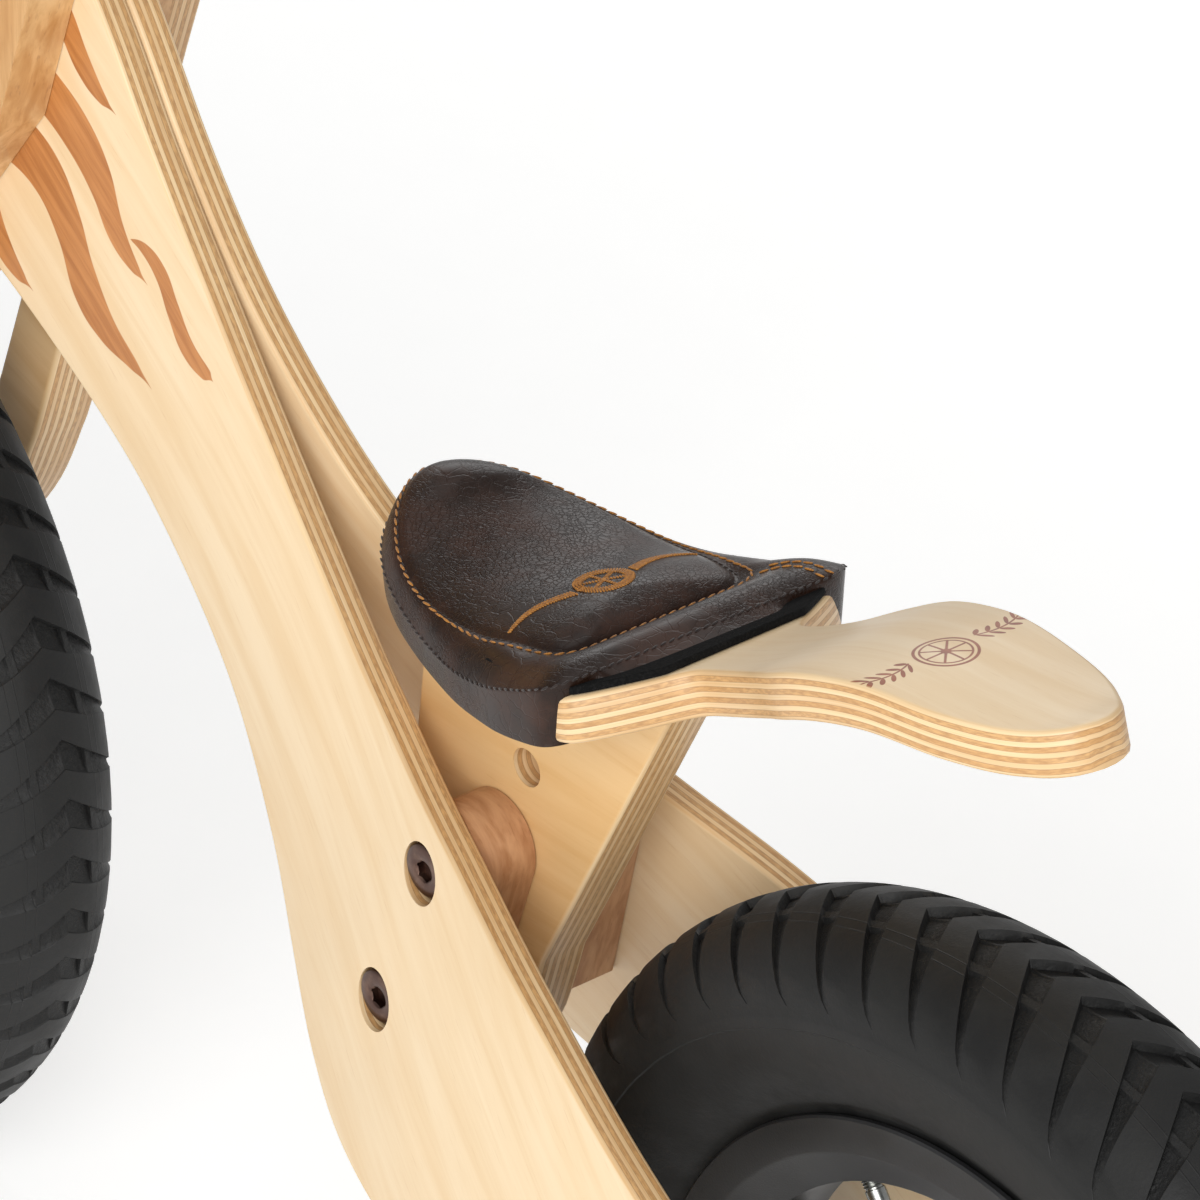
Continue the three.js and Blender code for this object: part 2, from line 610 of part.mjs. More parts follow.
for (const [end, group, carrier, inner, outer] of [
  ['rear', rearWheel, bike, innerFace(0), outerFace(0)],
  ['front', frontWheel, fork, BLADE_INNER, BLADE_INNER + BLADE_THICK],
]) {
  put(group, `${end}_tyre`, tyre(), rubber);
  put(group, `${end}_rim`, rim(), nylon);
  put(group, `${end}_valve`, valveBody(0), bronze);
  pair(group, `${end}_bearing`, bearing(), steel);
  put(group, `${end}_axle`, axle(outer + 7), steel);
  pair(group, `${end}_axle_spacer`, axleSpacer(inner), nylon);
  pair(group, `${end}_axle_nut`, domeNut(outer), bronze);
}

bike.add(rearWheel);
bike.add(fork);
bike.position.x = -WHEELBASE / 2;
const part = new THREE.Group();
part.name = 'part';
part.add(bike);
part.updateMatrixWorld(true);

export default part;
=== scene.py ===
# A child's balance bike of bent birch plywood, built up in the order in which it is put together.
# Lengths are in millimetres from the rear axle's foot on the floor until at() places them in the row frame.
import bpy
import bmesh
import math
from mathutils import Matrix, Vector
from mathutils.bvhtree import BVHTree


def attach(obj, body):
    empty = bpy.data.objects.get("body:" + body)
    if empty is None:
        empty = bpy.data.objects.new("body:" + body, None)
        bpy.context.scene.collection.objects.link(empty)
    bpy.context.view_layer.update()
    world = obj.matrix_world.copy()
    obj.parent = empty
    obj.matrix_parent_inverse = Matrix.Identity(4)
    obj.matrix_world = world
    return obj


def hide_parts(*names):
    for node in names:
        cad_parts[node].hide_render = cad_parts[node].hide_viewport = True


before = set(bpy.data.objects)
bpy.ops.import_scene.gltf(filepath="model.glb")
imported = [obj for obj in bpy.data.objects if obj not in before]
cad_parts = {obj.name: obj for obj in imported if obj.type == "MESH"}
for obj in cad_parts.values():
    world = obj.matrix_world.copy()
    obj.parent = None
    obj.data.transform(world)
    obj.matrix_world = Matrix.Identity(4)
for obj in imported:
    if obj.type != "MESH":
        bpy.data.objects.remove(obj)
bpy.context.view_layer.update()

# ---- side panels ----
# Two 9 mm panels of seven-layer birch plywood, pressed to a bend and cut with eased edges, face to face at
# the head and apart at the rear axle. They are bolted to the head block, the seat spacers and the rear axle.
REAR_AXLE_TO_MIDDLE = 265
TYRE_RADIUS = 158
WHEELBASE = 530
PANEL_THICK = 9
PANEL_ANGLE = math.radians(36.64)
FLARE = [(-40, 63), (40, 62.4), (100, 57.3), (160, 46.3), (207, 34.1), (250, 23.6), (297, 15.2),
         (350, 10.3), (395, 9.2), (500, 9.2)]
PANEL_TOP = [(0, 34), (40, 31), (80, 24), (120, 14), (157, 4.8), (200, -7.5), (230, -15), (262, -19.5),
             (297, -20), (331, -16.3), (365, -9.5), (399, 0.5), (430, 12), (452, 18), (471, 19.5)]
PANEL_FOOT = [(0, -34), (30, -40), (60, -53), (90, -70), (120, -87), (150, -101), (175, -107.5),
              (197, -106.8), (217, -101.5), (248, -91.6), (287, -83.1), (338, -80.2), (367, -82),
              (404, -86.6), (436, -92)]
SEAT_BOLTS = {"upper": (181, 261.5), "lower": (194, 219)}


def at(x, y, z):
    return Vector(((x - REAR_AXLE_TO_MIDDLE) / 1000, y / 1000, z / 1000))


def through(points, x):
    """Height at x of a smooth curve through the points, with slopes taken from their neighbours."""
    last = len(points) - 1
    if x <= points[0][0]:
        return points[0][1]
    if x >= points[last][0]:
        return points[last][1]
    i = 0
    while x > points[i + 1][0]:
        i += 1

    def slope(k):
        a, b = points[max(k - 1, 0)], points[min(k + 1, last)]
        return (b[1] - a[1]) / (b[0] - a[0])

    (x0, y0), (x1, y1) = points[i], points[i + 1]
    w = x1 - x0
    t = (x - x0) / w
    rise = y0 * (2 * t**3 - 3 * t**2 + 1) + y1 * (3 * t**2 - 2 * t**3)
    return rise + w * slope(i) * (t**3 - 2 * t**2 + t) + w * slope(i + 1) * (t**3 - t**2)


def linear(hexcode):
    """The scene's colour for an sRGB hex value."""
    parts = [int(hexcode[i:i + 2], 16) / 255 for i in (1, 3, 5)]
    return [p / 12.92 if p <= 0.04045 else ((p + 0.055) / 1.055) ** 2.4 for p in parts] + [1]


def add(tree, kind, settings=None, inputs=None):
    """Adds one node with its settings. An input is a value, or the socket that feeds it."""
    node = tree.nodes.new(kind)
    for name, value in (settings or {}).items():
        setattr(node, name, value)
    for name, value in (inputs or {}).items():
        if isinstance(value, bpy.types.NodeSocket):
            tree.links.new(value, node.inputs[name])
        else:
            node.inputs[name].default_value = value
    return node


def finish_named(name, **sockets):
    """A new material with one Principled shader, and the shader's even values set on its own sockets."""
    finish = bpy.data.materials.new(name)
    finish.use_nodes = True
    tree = finish.node_tree
    tree.nodes.clear()
    shader = add(tree, "ShaderNodeBsdfPrincipled",
                 inputs={k.replace("_", " "): v for k, v in sockets.items()})
    add(tree, "ShaderNodeOutputMaterial", inputs={"Surface": shader.outputs[0]})
    return finish, tree, shader


def calc(tree, operation, a, b=0.0, c=0.0):
    return add(tree, "ShaderNodeMath", {"operation": operation}, {0: a, 1: b, 2: c}).outputs[0]


def ease_between(tree, value, low, high, to_low=0.0, to_high=1.0):
    return add(tree, "ShaderNodeMapRange", {"interpolation_type": "SMOOTHSTEP"},
               {0: value, 1: low, 2: high, 3: to_low, 4: to_high}).outputs[0]


def blend_colours(tree, share, a, b, way="MIX"):
    node = add(tree, "ShaderNodeMix", {"data_type": "RGBA", "blend_type": way})
    for socket, value in ((node.inputs[0], share), (node.inputs[6], a), (node.inputs[7], b)):
        if isinstance(value, bpy.types.NodeSocket):
            tree.links.new(value, socket)
        else:
            socket.default_value = value
    return node.outputs[2]


def emboss(tree, shader, strength, distance, height):
    bump = add(tree, "ShaderNodeBump", inputs={"Strength": strength, "Distance": distance, "Height": height})
    tree.links.new(bump.outputs[0], shader.inputs["Normal"])


def noise(tree, place, stretch, detail=3.0, roughness=0.55, distortion=0.0):
    """Noise with a grain size of its own along each axis: stretch is grains per metre."""
    scaled = add(tree, "ShaderNodeVectorMath", {"operation": "MULTIPLY"}, {0: place, 1: stretch}).outputs[0]
    return add(tree, "ShaderNodeTexNoise", inputs={
        "Vector": scaled, "Scale": 1.0, "Detail": detail, "Roughness": roughness,
        "Distortion": distortion}).outputs[0]


# Birch plywood, sanded and clear lacquered in a satin: pale cream rotary-cut faces with faint long figure and
# fine short pores, and edges that show long grain and darker end grain in turn, with thin glue lines.
# Each stained lick is given as (distance from the rear axle along the panel, middle line, half width).
LICKS = [
    [(359, -54, 0.2), (368, -56, 2.4), (380, -58.5, 5.2), (393, -56.5, 7.4), (407, -49, 7.6),
     (421, -45.5, 8.4), (437, -50, 10), (452, -57, 11), (470, -62, 11)],
    [(378, -31.5, 0.2), (384, -32.5, 2.2), (394, -31.5, 4.6), (407, -25.5, 6.6), (420, -23.5, 7.6),
     (436, -25.5, 8), (452, -30, 8.5), (470, -34, 9)],
    [(346, -26.6, 0.2), (349, -28, 2.6), (358, -29.8, 3.6), (368, -27, 3.6), (377, -23.6, 3.2),
     (385, -24.2, 2.2), (390, -27.5, 0.2)],
    [(404, -79.5, 0.2), (410, -81, 2.4), (420, -80.5, 4.6), (434, -75.5, 6.2), (450, -74.5, 6.6),
     (470, -77, 7)],
    [(414, -4, 0.2), (420, -5.5, 2.2), (430, -5, 4.2), (442, -1.5, 5), (456, 0, 5.4), (470, -1.5, 5.5)],
]


def lick_mask(tree, q, v):
    """1 inside a lick: each middle line and half width is a curve along the panel."""
    total = None
    low, high = 340.0, 475.0
    along = calc(tree, "DIVIDE", calc(tree, "SUBTRACT", q, low), high - low)
    for lick in LICKS:
        values = []
        for column, span in ((1, 120.0), (2, 20.0)):
            curve = add(tree, "ShaderNodeFloatCurve", inputs={"Factor": 1.0, "Value": along})
            points = curve.mapping.curves[0].points
            line = [(p[0], p[column]) for p in lick]
            line = [(low, line[0][1] if column == 1 else 0.0)] + line
            spots = [((x - low) / (high - low), (y + (90 if column == 1 else 0)) / span) for x, y in line]
            while len(points) < len(spots):
                points.new(0.5, 0.5)
            for point, spot in zip(points, spots):
                point.location = spot
            curve.mapping.update()
            values.append(calc(tree, "MULTIPLY", curve.outputs[0], span))
        off = calc(tree, "ABSOLUTE", calc(tree, "SUBTRACT", calc(tree, "ADD", v, 90.0), values[0]))
        inside = ease_between(tree, calc(tree, "SUBTRACT", values[1], off), 0.0, 0.35)
        started = ease_between(tree, q, lick[0][0] - 0.2, lick[0][0] + 0.4)
        ended = 1.0 if lick[-1][0] > 460 else ease_between(tree, q, lick[-1][0] - 0.4, lick[-1][0] + 0.2,
                                                           1.0, 0.0)
        inside = calc(tree, "MULTIPLY", calc(tree, "MULTIPLY", inside, started), ended)
        total = inside if total is None else calc(tree, "MAXIMUM", total, inside)
    return total


def birch_ply(name, thick, plies, pale="#EBD3AE", deep="#DDBB8A", stained=None, stain=("#C58448", "#A9682F")):
    finish, tree, shader = finish_named(name, IOR=1.5, Coat_Weight=0.12, Coat_Roughness=0.28)
    flat = add(tree, "ShaderNodeUVMap", {"uv_map": "flat"}).outputs[0]
    depth = add(tree, "ShaderNodeAttribute", {"attribute_name": "ply"}).outputs["Fac"]
    split = add(tree, "ShaderNodeSeparateXYZ", inputs={0: flat})
    layers = calc(tree, "MULTIPLY", depth, plies / thick)
    layer = calc(tree, "FLOOR", calc(tree, "MINIMUM", layers, plies - 0.01))
    place = add(tree, "ShaderNodeCombineXYZ", inputs={
        0: split.outputs[0], 1: split.outputs[1], 2: calc(tree, "MULTIPLY", layer, 0.37)}).outputs[0]
    figure = noise(tree, place, (9, 120, 3), 4, 0.6, 0.6)
    cloud = noise(tree, place, (14, 38, 3), 2)
    pores = noise(tree, place, (90, 1500, 3), 2, 0.6)
    face = blend_colours(tree, ease_between(tree, figure, 0.3, 0.75, 0, 0.6), linear(pale), linear(deep))
    face = blend_colours(tree, ease_between(tree, cloud, 0.4, 0.75, 0, 0.25), face, linear("#E6C493"))
    face = blend_colours(tree, ease_between(tree, pores, 0.6, 0.78, 0, 0.28), face, linear("#C79A62"))
    # the edges: every second layer is cut across its grain
    crossed = calc(tree, "MODULO", layer, 2.0)
    deep_place = add(tree, "ShaderNodeCombineXYZ", inputs={
        0: split.outputs[0], 1: split.outputs[1], 2: calc(tree, "MULTIPLY", depth, 0.001)}).outputs[0]
    long_grain = blend_colours(tree, noise(tree, deep_place, (30, 30, 2600), 4), linear("#F3DDB6"),
                               linear("#D9AE74"))
    end_grain = blend_colours(
        tree, ease_between(tree, noise(tree, deep_place, (420, 420, 1700), 3), 0.3, 0.7),
        linear("#A97B49"), linear("#D2A369"))
    edge = blend_colours(tree, calc(tree, "MULTIPLY", crossed, 0.85), long_grain, end_grain)
    tone = noise(tree, place, (16, 16, 60), 1)
    edge = blend_colours(tree, ease_between(tree, tone, 0.35, 0.7, 0, 0.4), edge, linear("#BD8A50"))
    near_glue = calc(tree, "ABSOLUTE", calc(tree, "SUBTRACT", calc(tree, "FRACT", calc(
        tree, "ADD", layers, 0.5)), 0.5))
    edge = blend_colours(tree, ease_between(tree, near_glue, 0.03, 0.1, 0.45, 0), edge, linear("#7E5630"))
    in_edge = calc(tree, "MINIMUM", ease_between(tree, depth, 0.05, 0.35),
                   ease_between(tree, depth, thick - 0.35, thick - 0.05, 1, 0))
    if stained:
        to_mm = add(tree, "ShaderNodeVectorMath", {"operation": "SCALE"},
                    {0: flat, "Scale": 1000.0}).outputs[0]
        spot = add(tree, "ShaderNodeSeparateXYZ", inputs={0: to_mm})
        mask = calc(tree, "MULTIPLY", stained(tree, spot.outputs[0], spot.outputs[1]),
                    ease_between(tree, depth, 0.3, 0.6, 1, 0))
        streak = noise(tree, place, (22, 330, 3), 4, 0.65)
        tint = blend_colours(tree, ease_between(tree, streak, 0.3, 0.7), linear(stain[0]), linear(stain[1]))
        face = blend_colours(tree, mask, face, tint)
    tree.links.new(blend_colours(tree, in_edge, face, edge), shader.inputs["Base Color"])
    tree.links.new(ease_between(tree, figure, 0.2, 0.8, 0.4, 0.5), shader.inputs["Roughness"])
    emboss(tree, shader, 0.35, 0.00012, calc(tree, "ADD", pores, calc(tree, "MULTIPLY", near_glue, in_edge)))
    return finish


def inset(outline, distance):
    """The outline, given anticlockwise, moved inwards."""
    moved = []
    for i, point in enumerate(outline):
        here = Vector(point)
        back = (here - Vector(outline[i - 1])).normalized()
        on = (Vector(outline[(i + 1) % len(outline)]) - here).normalized()
        left, right = Vector((-back.y, back.x)), Vector((-on.y, on.x))
        moved.append(here + (left + right) * distance / max(1 + left.dot(right), 0.6))
    return moved


def evenly(outline, step):
    """The closed outline with points added so that none are further apart than step."""
    points = []
    for i, (x, y) in enumerate(outline):
        x1, y1 = outline[(i + 1) % len(outline)]
        parts = max(1, round(math.hypot(x1 - x, y1 - y) / step))
        points += [(x + (x1 - x) * k / parts, y + (y1 - y) * k / parts) for k in range(parts)]
    return points


def settle(made, name, material, smooth=32):
    """Turns a bmesh into a finished object with outward faces, smooth but for its sharp edges."""
    mesh = bpy.data.meshes.new(name)
    made.to_mesh(mesh)
    made.free()
    mesh.shade_smooth()
    mesh.set_sharp_from_angle(angle=math.radians(smooth))
    mesh.materials.append(material)
    piece = bpy.data.objects.new(name, mesh)
    bpy.context.scene.collection.objects.link(piece)
    return piece


def fasten(piece, body, slot, *nodes):
    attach(piece, body)
    if nodes:
        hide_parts(*nodes)
    return piece


def board(name, outline, thick, easing, slices, place, material, bores=(), mirrored=False):
    """A board with eased edges, sliced across so that it can bend, bored, and then put in its place.
    place(a, b, depth) gives the point for a place on the outline and a depth below the upper face."""
    made = bmesh.new()
    turn = [i * math.pi / 6 for i in range(4)]
    rings = [(easing * (1 - math.sin(t)), easing * (1 - math.cos(t))) for t in turn]
    rings += [(gap, thick - depth) for gap, depth in reversed(rings)]
    loops = [[made.verts.new((p[0], p[1], -depth)) for p in inset(outline, gap)] for gap, depth in rings]
    count = len(outline)
    for upper, lower in zip(loops, loops[1:]):
        for i in range(count):
            k = (i + 1) % count
            made.faces.new((upper[i], lower[i], lower[k], upper[k]))
    made.faces.new(loops[0])
    made.faces.new(list(reversed(loops[-1])))
    for a in slices:
        bmesh.ops.bisect_plane(made, geom=made.verts[:] + made.edges[:] + made.faces[:], dist=1e-4,
                               plane_co=(a, 0, 0), plane_no=(1, 0, 0))
    if bores:
        made = bored(made, bores)
    bmesh.ops.triangulate(made, faces=[f for f in made.faces if len(f.verts) > 4])
    ply = made.verts.layers.float.new("ply")
    flat = made.loops.layers.uv.new("flat")
    for face in made.faces:
        for loop in face.loops:
            loop[flat].uv = (loop.vert.co.x / 1000, loop.vert.co.y / 1000)
    for vert in made.verts:
        a, b, depth = vert.co.x, vert.co.y, -vert.co.z
        vert[ply] = min(max(depth, 0), thick)
        vert.co = place(a, b, depth)
    if mirrored:
        bmesh.ops.reverse_faces(made, faces=made.faces[:])
    return settle(made, name, material)


def bored(made, bores):
    """The flat board with holes cut in it. A bore is a list of rings."""
    plain = bpy.data.meshes.new("blank")
    made.to_mesh(plain)
    made.free()
    blank = bpy.data.objects.new("blank", plain)
    bpy.context.scene.collection.objects.link(blank)
    cutters = bmesh.new()
    for rings in bores:
        loops = [[cutters.verts.new(p) for p in ring] for ring in rings]
        for upper, lower in zip(loops, loops[1:]):
            for i in range(len(upper)):
                k = (i + 1) % len(upper)
                cutters.faces.new((upper[i], upper[k], lower[k], lower[i]))
        cutters.faces.new(list(reversed(loops[0])))
        cutters.faces.new(loops[-1])
    bmesh.ops.recalc_face_normals(cutters, faces=cutters.faces[:])
    tool = bpy.data.objects.new("cutter", bpy.data.meshes.new("cutter"))
    cutters.to_mesh(tool.data)
    cutters.free()
    bpy.context.scene.collection.objects.link(tool)
    cut = blank.modifiers.new("bore", "BOOLEAN")
    cut.operation, cut.solver, cut.object = "DIFFERENCE", "EXACT", tool
    result = bpy.data.meshes.new_from_object(blank.evaluated_get(bpy.context.evaluated_depsgraph_get()))
    out = bmesh.new()
    out.from_mesh(result)
    for thing in (blank, tool):
        bpy.data.objects.remove(thing)
    return out


def bore_rings(a, b, steps, sides=40):
    """Rings of a round cutter. steps is [(radius, depth)]; depth may be a function of the place."""
    rings = []
    for radius, depth in steps:
        ring = []
        for i in range(sides):
            t = 2 * math.pi * i / sides
            p, q = a + radius * math.cos(t), b + radius * math.sin(t)
            ring.append((p, q, -(depth(p, q) if callable(depth) else depth)))
        rings.append(ring)
    return rings


def outer_face(q):
    return max(PANEL_THICK + 0.2, through(FLARE, q))


def panel_stretch(q):
    return math.hypot(1, (outer_face(q + 2) - outer_face(q - 2)) / 4)


def inner_face(q):
    return outer_face(q) - PANEL_THICK * panel_stretch(q)


def along_panel(x, z):
    c, s = math.cos(PANEL_ANGLE), math.sin(PANEL_ANGLE)
    return x * c + (z - TYRE_RADIUS) * s, -x * s + (z - TYRE_RADIUS) * c


def on_panel(q, v):
    c, s = math.cos(PANEL_ANGLE), math.sin(PANEL_ANGLE)
    return q * c - v * s, TYRE_RADIUS + q * s + v * c


def panel_outline():
    foot = [(q, through(PANEL_FOOT, q)) for q in range(0, 436, 4)] + [(436, -92), (453, -36), (467.5, 11)]
    nose = [(469.4, 16.6), (468.3, 18.6), (465, 19.2)]
    top = [(q, through(PANEL_TOP, q)) for q in range(460, 0, -4)]
    end = [(-34 * math.sin(t), 34 * math.cos(t)) for t in (math.pi * i / 30 for i in range(30))]
    return evenly(foot + nose + top + end, 5)


def seat_bolt_bore(x, z):
    q, v = along_panel(x, z)
    face = outer_face(q)

    def depth_of(y):
        return lambda a, b: (outer_face(a) - y) / panel_stretch(a)

    return bore_rings(q, v, [(8, depth_of(face + 6)), (8, depth_of(face - 5)), (3.6, depth_of(face - 5.01)),
                             (3.6, depth_of(face - 24))])


panel_ply = birch_ply("birch_plywood_panel_satin_lacquer", PANEL_THICK, 7, stained=lick_mask)
HEAD_BOLTS = (264, 306)
HEAD_BOLT_X = -25
RAKE = math.radians(19.4)
FORK_FOOT = (WHEELBASE - 41 * math.cos(RAKE), TYRE_RADIUS - 41 * math.sin(RAKE))


def on_fork(x, s):
    """Place along the bike and height for a place on the leaning steering head: x forward, s up the axis."""
    c, r = math.cos(RAKE), math.sin(RAKE)
    return FORK_FOOT[0] + x * c - s * r, FORK_FOOT[1] + x * r + s * c


for side, name in ((1, "left"), (-1, "right")):
    holes = [seat_bolt_bore(*spot) for spot in SEAT_BOLTS.values()]
    holes.append(bore_rings(0, 0, [(5.6, -3), (5.6, 14)]))
    holes += [bore_rings(*along_panel(*on_fork(HEAD_BOLT_X, s)), [(3.4, -3), (3.4, 14)]) for s in HEAD_BOLTS]
    panel = board(
        f"side_panel_{name}_bent", panel_outline(), PANEL_THICK, 1.3, range(-28, 468, 6),
        lambda q, v, depth, side=side: at(
            on_panel(q, v)[0], side * (outer_face(q) - depth * panel_stretch(q)), on_panel(q, v)[1]),
        panel_ply, holes, mirrored=side > 0)
    fasten(panel, "frame", "birch_ply", f"side_panel_{name}")

# ---- seat post ----
# A 15 mm plate of eleven-layer birch plywood stands on edge between the panels, with spare holes for another
# seat height. Wood blocks fill the gap to each panel, and the seat bolts pass through all of them.
POST_HALF = 7.5
DECK_LINE = [(-21, 391.5), (-10, 388.2), (10, 385.8), (30, 384.2), (42, 381.6), (57, 376.2), (70, 369),
             (80, 362.8), (90, 357.4), (100, 352.8), (110, 349), (118, 346.3), (125, 344.2), (138, 340.8),
             (150, 338.4), (160, 337), (172, 336.4), (185, 337), (200, 339.7), (210, 342.3), (218, 345)]
DECK_THICK = 12


def deck_top(x):
    return through(DECK_LINE, x)


def under_deck(x, depth):
    """The point at a depth below the deck's upper face, square to it."""
    slope = (deck_top(x + 1) - deck_top(x - 1)) / 2
    size = math.hypot(1, slope)
    return x + slope / size * depth, deck_top(x) - depth / size


def curve_through(points, parts=6):
    """Points on a smooth open curve through the given ones."""
    spots = [Vector(p) for p in points]
    made = []
    for i in range(len(spots) - 1):
        a, b = spots[max(i - 1, 0)], spots[i]
        c, d = spots[i + 1], spots[min(i + 2, len(spots) - 1)]
        for k in range(parts):
            t = k / parts
            made.append(0.5 * (2 * b + (c - a) * t + (2 * a - 5 * b + 4 * c - d) * t**2
                               + (3 * b - a - 3 * c + d) * t**3))
    return made + [spots[-1]]


plate_ply = birch_ply("birch_plywood_plate_satin_lacquer", 2 * POST_HALF, 11, "#E3BC85", "#D3A264")
rear_edge = [(119, 325.5)]
foot = [(165, 232.4), (172, 210), (178, 201.5), (187, 197.3), (199, 198), (209, 202.5), (217, 212),
        (220, 232)]
crown = [under_deck(x, DECK_THICK + 0.4) for x in range(206, 119, -4)]
plate_outline = [tuple(p) for p in curve_through(foot, 5)] + [(213.5, 297), (209, 322)] + crown[1:]
plate_outline = evenly(plate_outline + rear_edge[:1], 4)
plate_holes = [bore_rings(x, z, [(5.2, -2), (5.2, 17)]) for x, z in
               list(SEAT_BOLTS.values()) + [(172, 286.5), (188, 236.5)]]
post = board("seat_post_board", plate_outline, 2 * POST_HALF, 1.4, (),
             lambda x, z, depth: at(x, depth - POST_HALF, z), plate_ply, plate_holes)
fasten(post, "frame", "birch_ply", "seat_post_plate")


# Turned and sanded hardwood: warm pinkish brown, straight fine streaks along the block, satin lacquer.
def solid_wood(name, pale, deep, stretch):
    finish, tree, shader = finish_named(name, IOR=1.5, Coat_Weight=0.2, Coat_Roughness=0.25)
    place = add(tree, "ShaderNodeTexCoord").outputs["Object"]
    streak = noise(tree, place, stretch, 4, 0.6, 0.4)
    fleck = noise(tree, place, tuple(4 * s for s in stretch), 2)
    colour = blend_colours(tree, ease_between(tree, streak, 0.3, 0.7), linear(pale), linear(deep))
    colour = blend_colours(tree, ease_between(tree, fleck, 0.6, 0.75, 0, 0.4), colour, linear("#8F5E3A"))
    tree.links.new(colour, shader.inputs["Base Color"])
    tree.links.new(ease_between(tree, streak, 0.2, 0.8, 0.36, 0.5), shader.inputs["Roughness"])
    emboss(tree, shader, 0.3, 0.00015, fleck)
    return finish


spacer_wood = solid_wood("beech_block_satin_lacquer", "#C99A72", "#A9764F", (60, 260, 60))
SPACER_RADIUS = 13.8
lean = math.atan2(261.5 - 219, 181 - 194)
spacer_outline = []
for i in range(25):
    t = lean - math.pi / 2 + i * math.pi / 24
    spacer_outline.append((181 + SPACER_RADIUS * math.cos(t), 261.5 + SPACER_RADIUS * math.sin(t)))
for turn in (1, -1):
    t = lean + turn * math.pi / 2
    spacer_outline.append((194 - 12 * math.cos(lean) + SPACER_RADIUS * math.cos(t),
                           219 - 12 * math.sin(lean) + SPACER_RADIUS * math.sin(t)))
for side, name in ((1, "left"), (-1, "right")):
    def across(x, z, depth, side=side):
        low, high = POST_HALF + 0.3, inner_face(along_panel(x, z)[0]) - 0.3
        return at(x, side * (low + (high - low) * depth / 30), z)

    block = board(f"seat_spacer_{name}_block", evenly(spacer_outline, 4), 30, 0.8, (), across, spacer_wood,
                  [bore_rings(x, z, [(5.2, -2), (5.2, 32)]) for x, z in SEAT_BOLTS.values()],
                  mirrored=side < 0)
    fasten(block, "frame", "birch_block", f"seat_spacer_{name}")


# ---- bolts, nuts and other turned steel ----
# Low-headed socket bolts in dark bronze plating sit in the panels' counterbores. The axles, screws and
# spindle are bright zinc-plated steel.
def turned(made, rings, centre, axis, sides=48, closed=True):
    """Adds a turned form: rings are (radius, height) along the axis, with "hex" for a six-sided ring."""
    up = Vector(axis).normalized()
    side = up.orthogonal().normalized()
    front = up.cross(side)
    loops = []
    for ring in rings:
        radius, height = ring[:2]
        if radius == 0:
            loops.append([made.verts.new(centre + up * height / 1000)])
            continue
        loop = []
        for i in range(sides):
            t = 2 * math.pi * i / sides
            reach = radius
            if len(ring) > 2:
                reach = radius / math.cos((t + math.pi / 6) % (math.pi / 3) - math.pi / 6)
            loop.append(made.verts.new(
                centre + (side * math.cos(t) * reach + front * math.sin(t) * reach + up * height) / 1000))
        loops.append(loop)
    pairs = list(zip(loops, loops[1:]))
    if not closed:
        pairs.append((loops[-1], loops[0]))
    for lower, upper in pairs:
        for i in range(sides):
            k = (i + 1) % sides
            ends = [lower[i % len(lower)], lower[k % len(lower)], upper[k % len(upper)],
                    upper[i % len(upper)]]
            face = list(dict.fromkeys(ends))
            if len(face) > 2:
                made.faces.new(face)


def turned_piece(name, parts, material, body, slot, node, sides=48):
    """One piece from a few turned forms: each is (rings, centre, axis, closed)."""
    made = bmesh.new()
    for rings, centre, axis, closed in parts:
        turned(made, rings, centre, axis, sides, closed)
    bmesh.ops.recalc_face_normals(made, faces=made.faces[:])
    return fasten(settle(made, name, material, 30), body, slot, node)


# Plated steel: even colour with a faint mottle from the plating bath and fine turning marks.
def plated_steel(name, colour, worn, roughness, metallic=1.0):
    finish, tree, shader = finish_named(name, Metallic=metallic)
    place = add(tree, "ShaderNodeTexCoord").outputs["Object"]
    mottle = noise(tree, place, (260, 260, 260), 4)
    fine = noise(tree, place, (2600, 2600, 2600), 2)
    tree.links.new(blend_colours(tree, ease_between(tree, mottle, 0.4, 0.75), linear(colour), linear(worn)),
                   shader.inputs["Base Color"])
    tree.links.new(ease_between(tree, mottle, 0.25, 0.75, roughness - 0.06, roughness + 0.08),
                   shader.inputs["Roughness"])
    emboss(tree, shader, 0.25, 0.00006, fine)
    return finish


bronze = plated_steel("steel_dark_bronze_plated", "#5B4740", "#7A6256", 0.34)
zinc = plated_steel("steel_zinc_plated", "#A9ABA8", "#C9CAC4", 0.3)


def socket_bolt_rings(head, tip, seat=0.0):
    """From the tip of the shank to the floor of the hexagon socket; head is the height of its seat."""
    return [(0, tip), (2.6, tip), (3, tip + 0.6), (3, head), (7.0, head), (7.4, head + 0.4),
            (7.4, head + 2.3), (7.1, head + 3.0), (6.4, head + 3.4), (3.3, head + 3.4), (2.95, head + 3.2),
            (2.6, head + 2.9, "hex"), (2.6, head + 1.1, "hex"), (0, head + 0.8)]


for place_name, (x, z) in SEAT_BOLTS.items():
    face = outer_face(along_panel(x, z)[0])
    for side, name in ((1, "left"), (-1, "right")):
        turned_piece(f"seat_bolt_{place_name}_{name}_turned",
                     [(socket_bolt_rings(face - 4.7, 3), at(x, 0, z), (0, side, 0), True)],
                     bronze, "frame", "bronze_steel", f"seat_bolt_{place_name}_{name}")
    reach = inner_face(along_panel(x, z)[0]) - 4
    sleeve = [(3.3, -reach), (4.3, -reach), (4.6, 0.4 - reach), (4.6, reach - 0.4), (4.3, reach),
              (3.3, reach)]
    turned_piece(f"seat_sleeve_{place_name}_turned", [(sleeve, at(x, 0, z), (0, 1, 0), False)],
                 zinc, "frame", "steel", f"seat_sleeve_{place_name}")


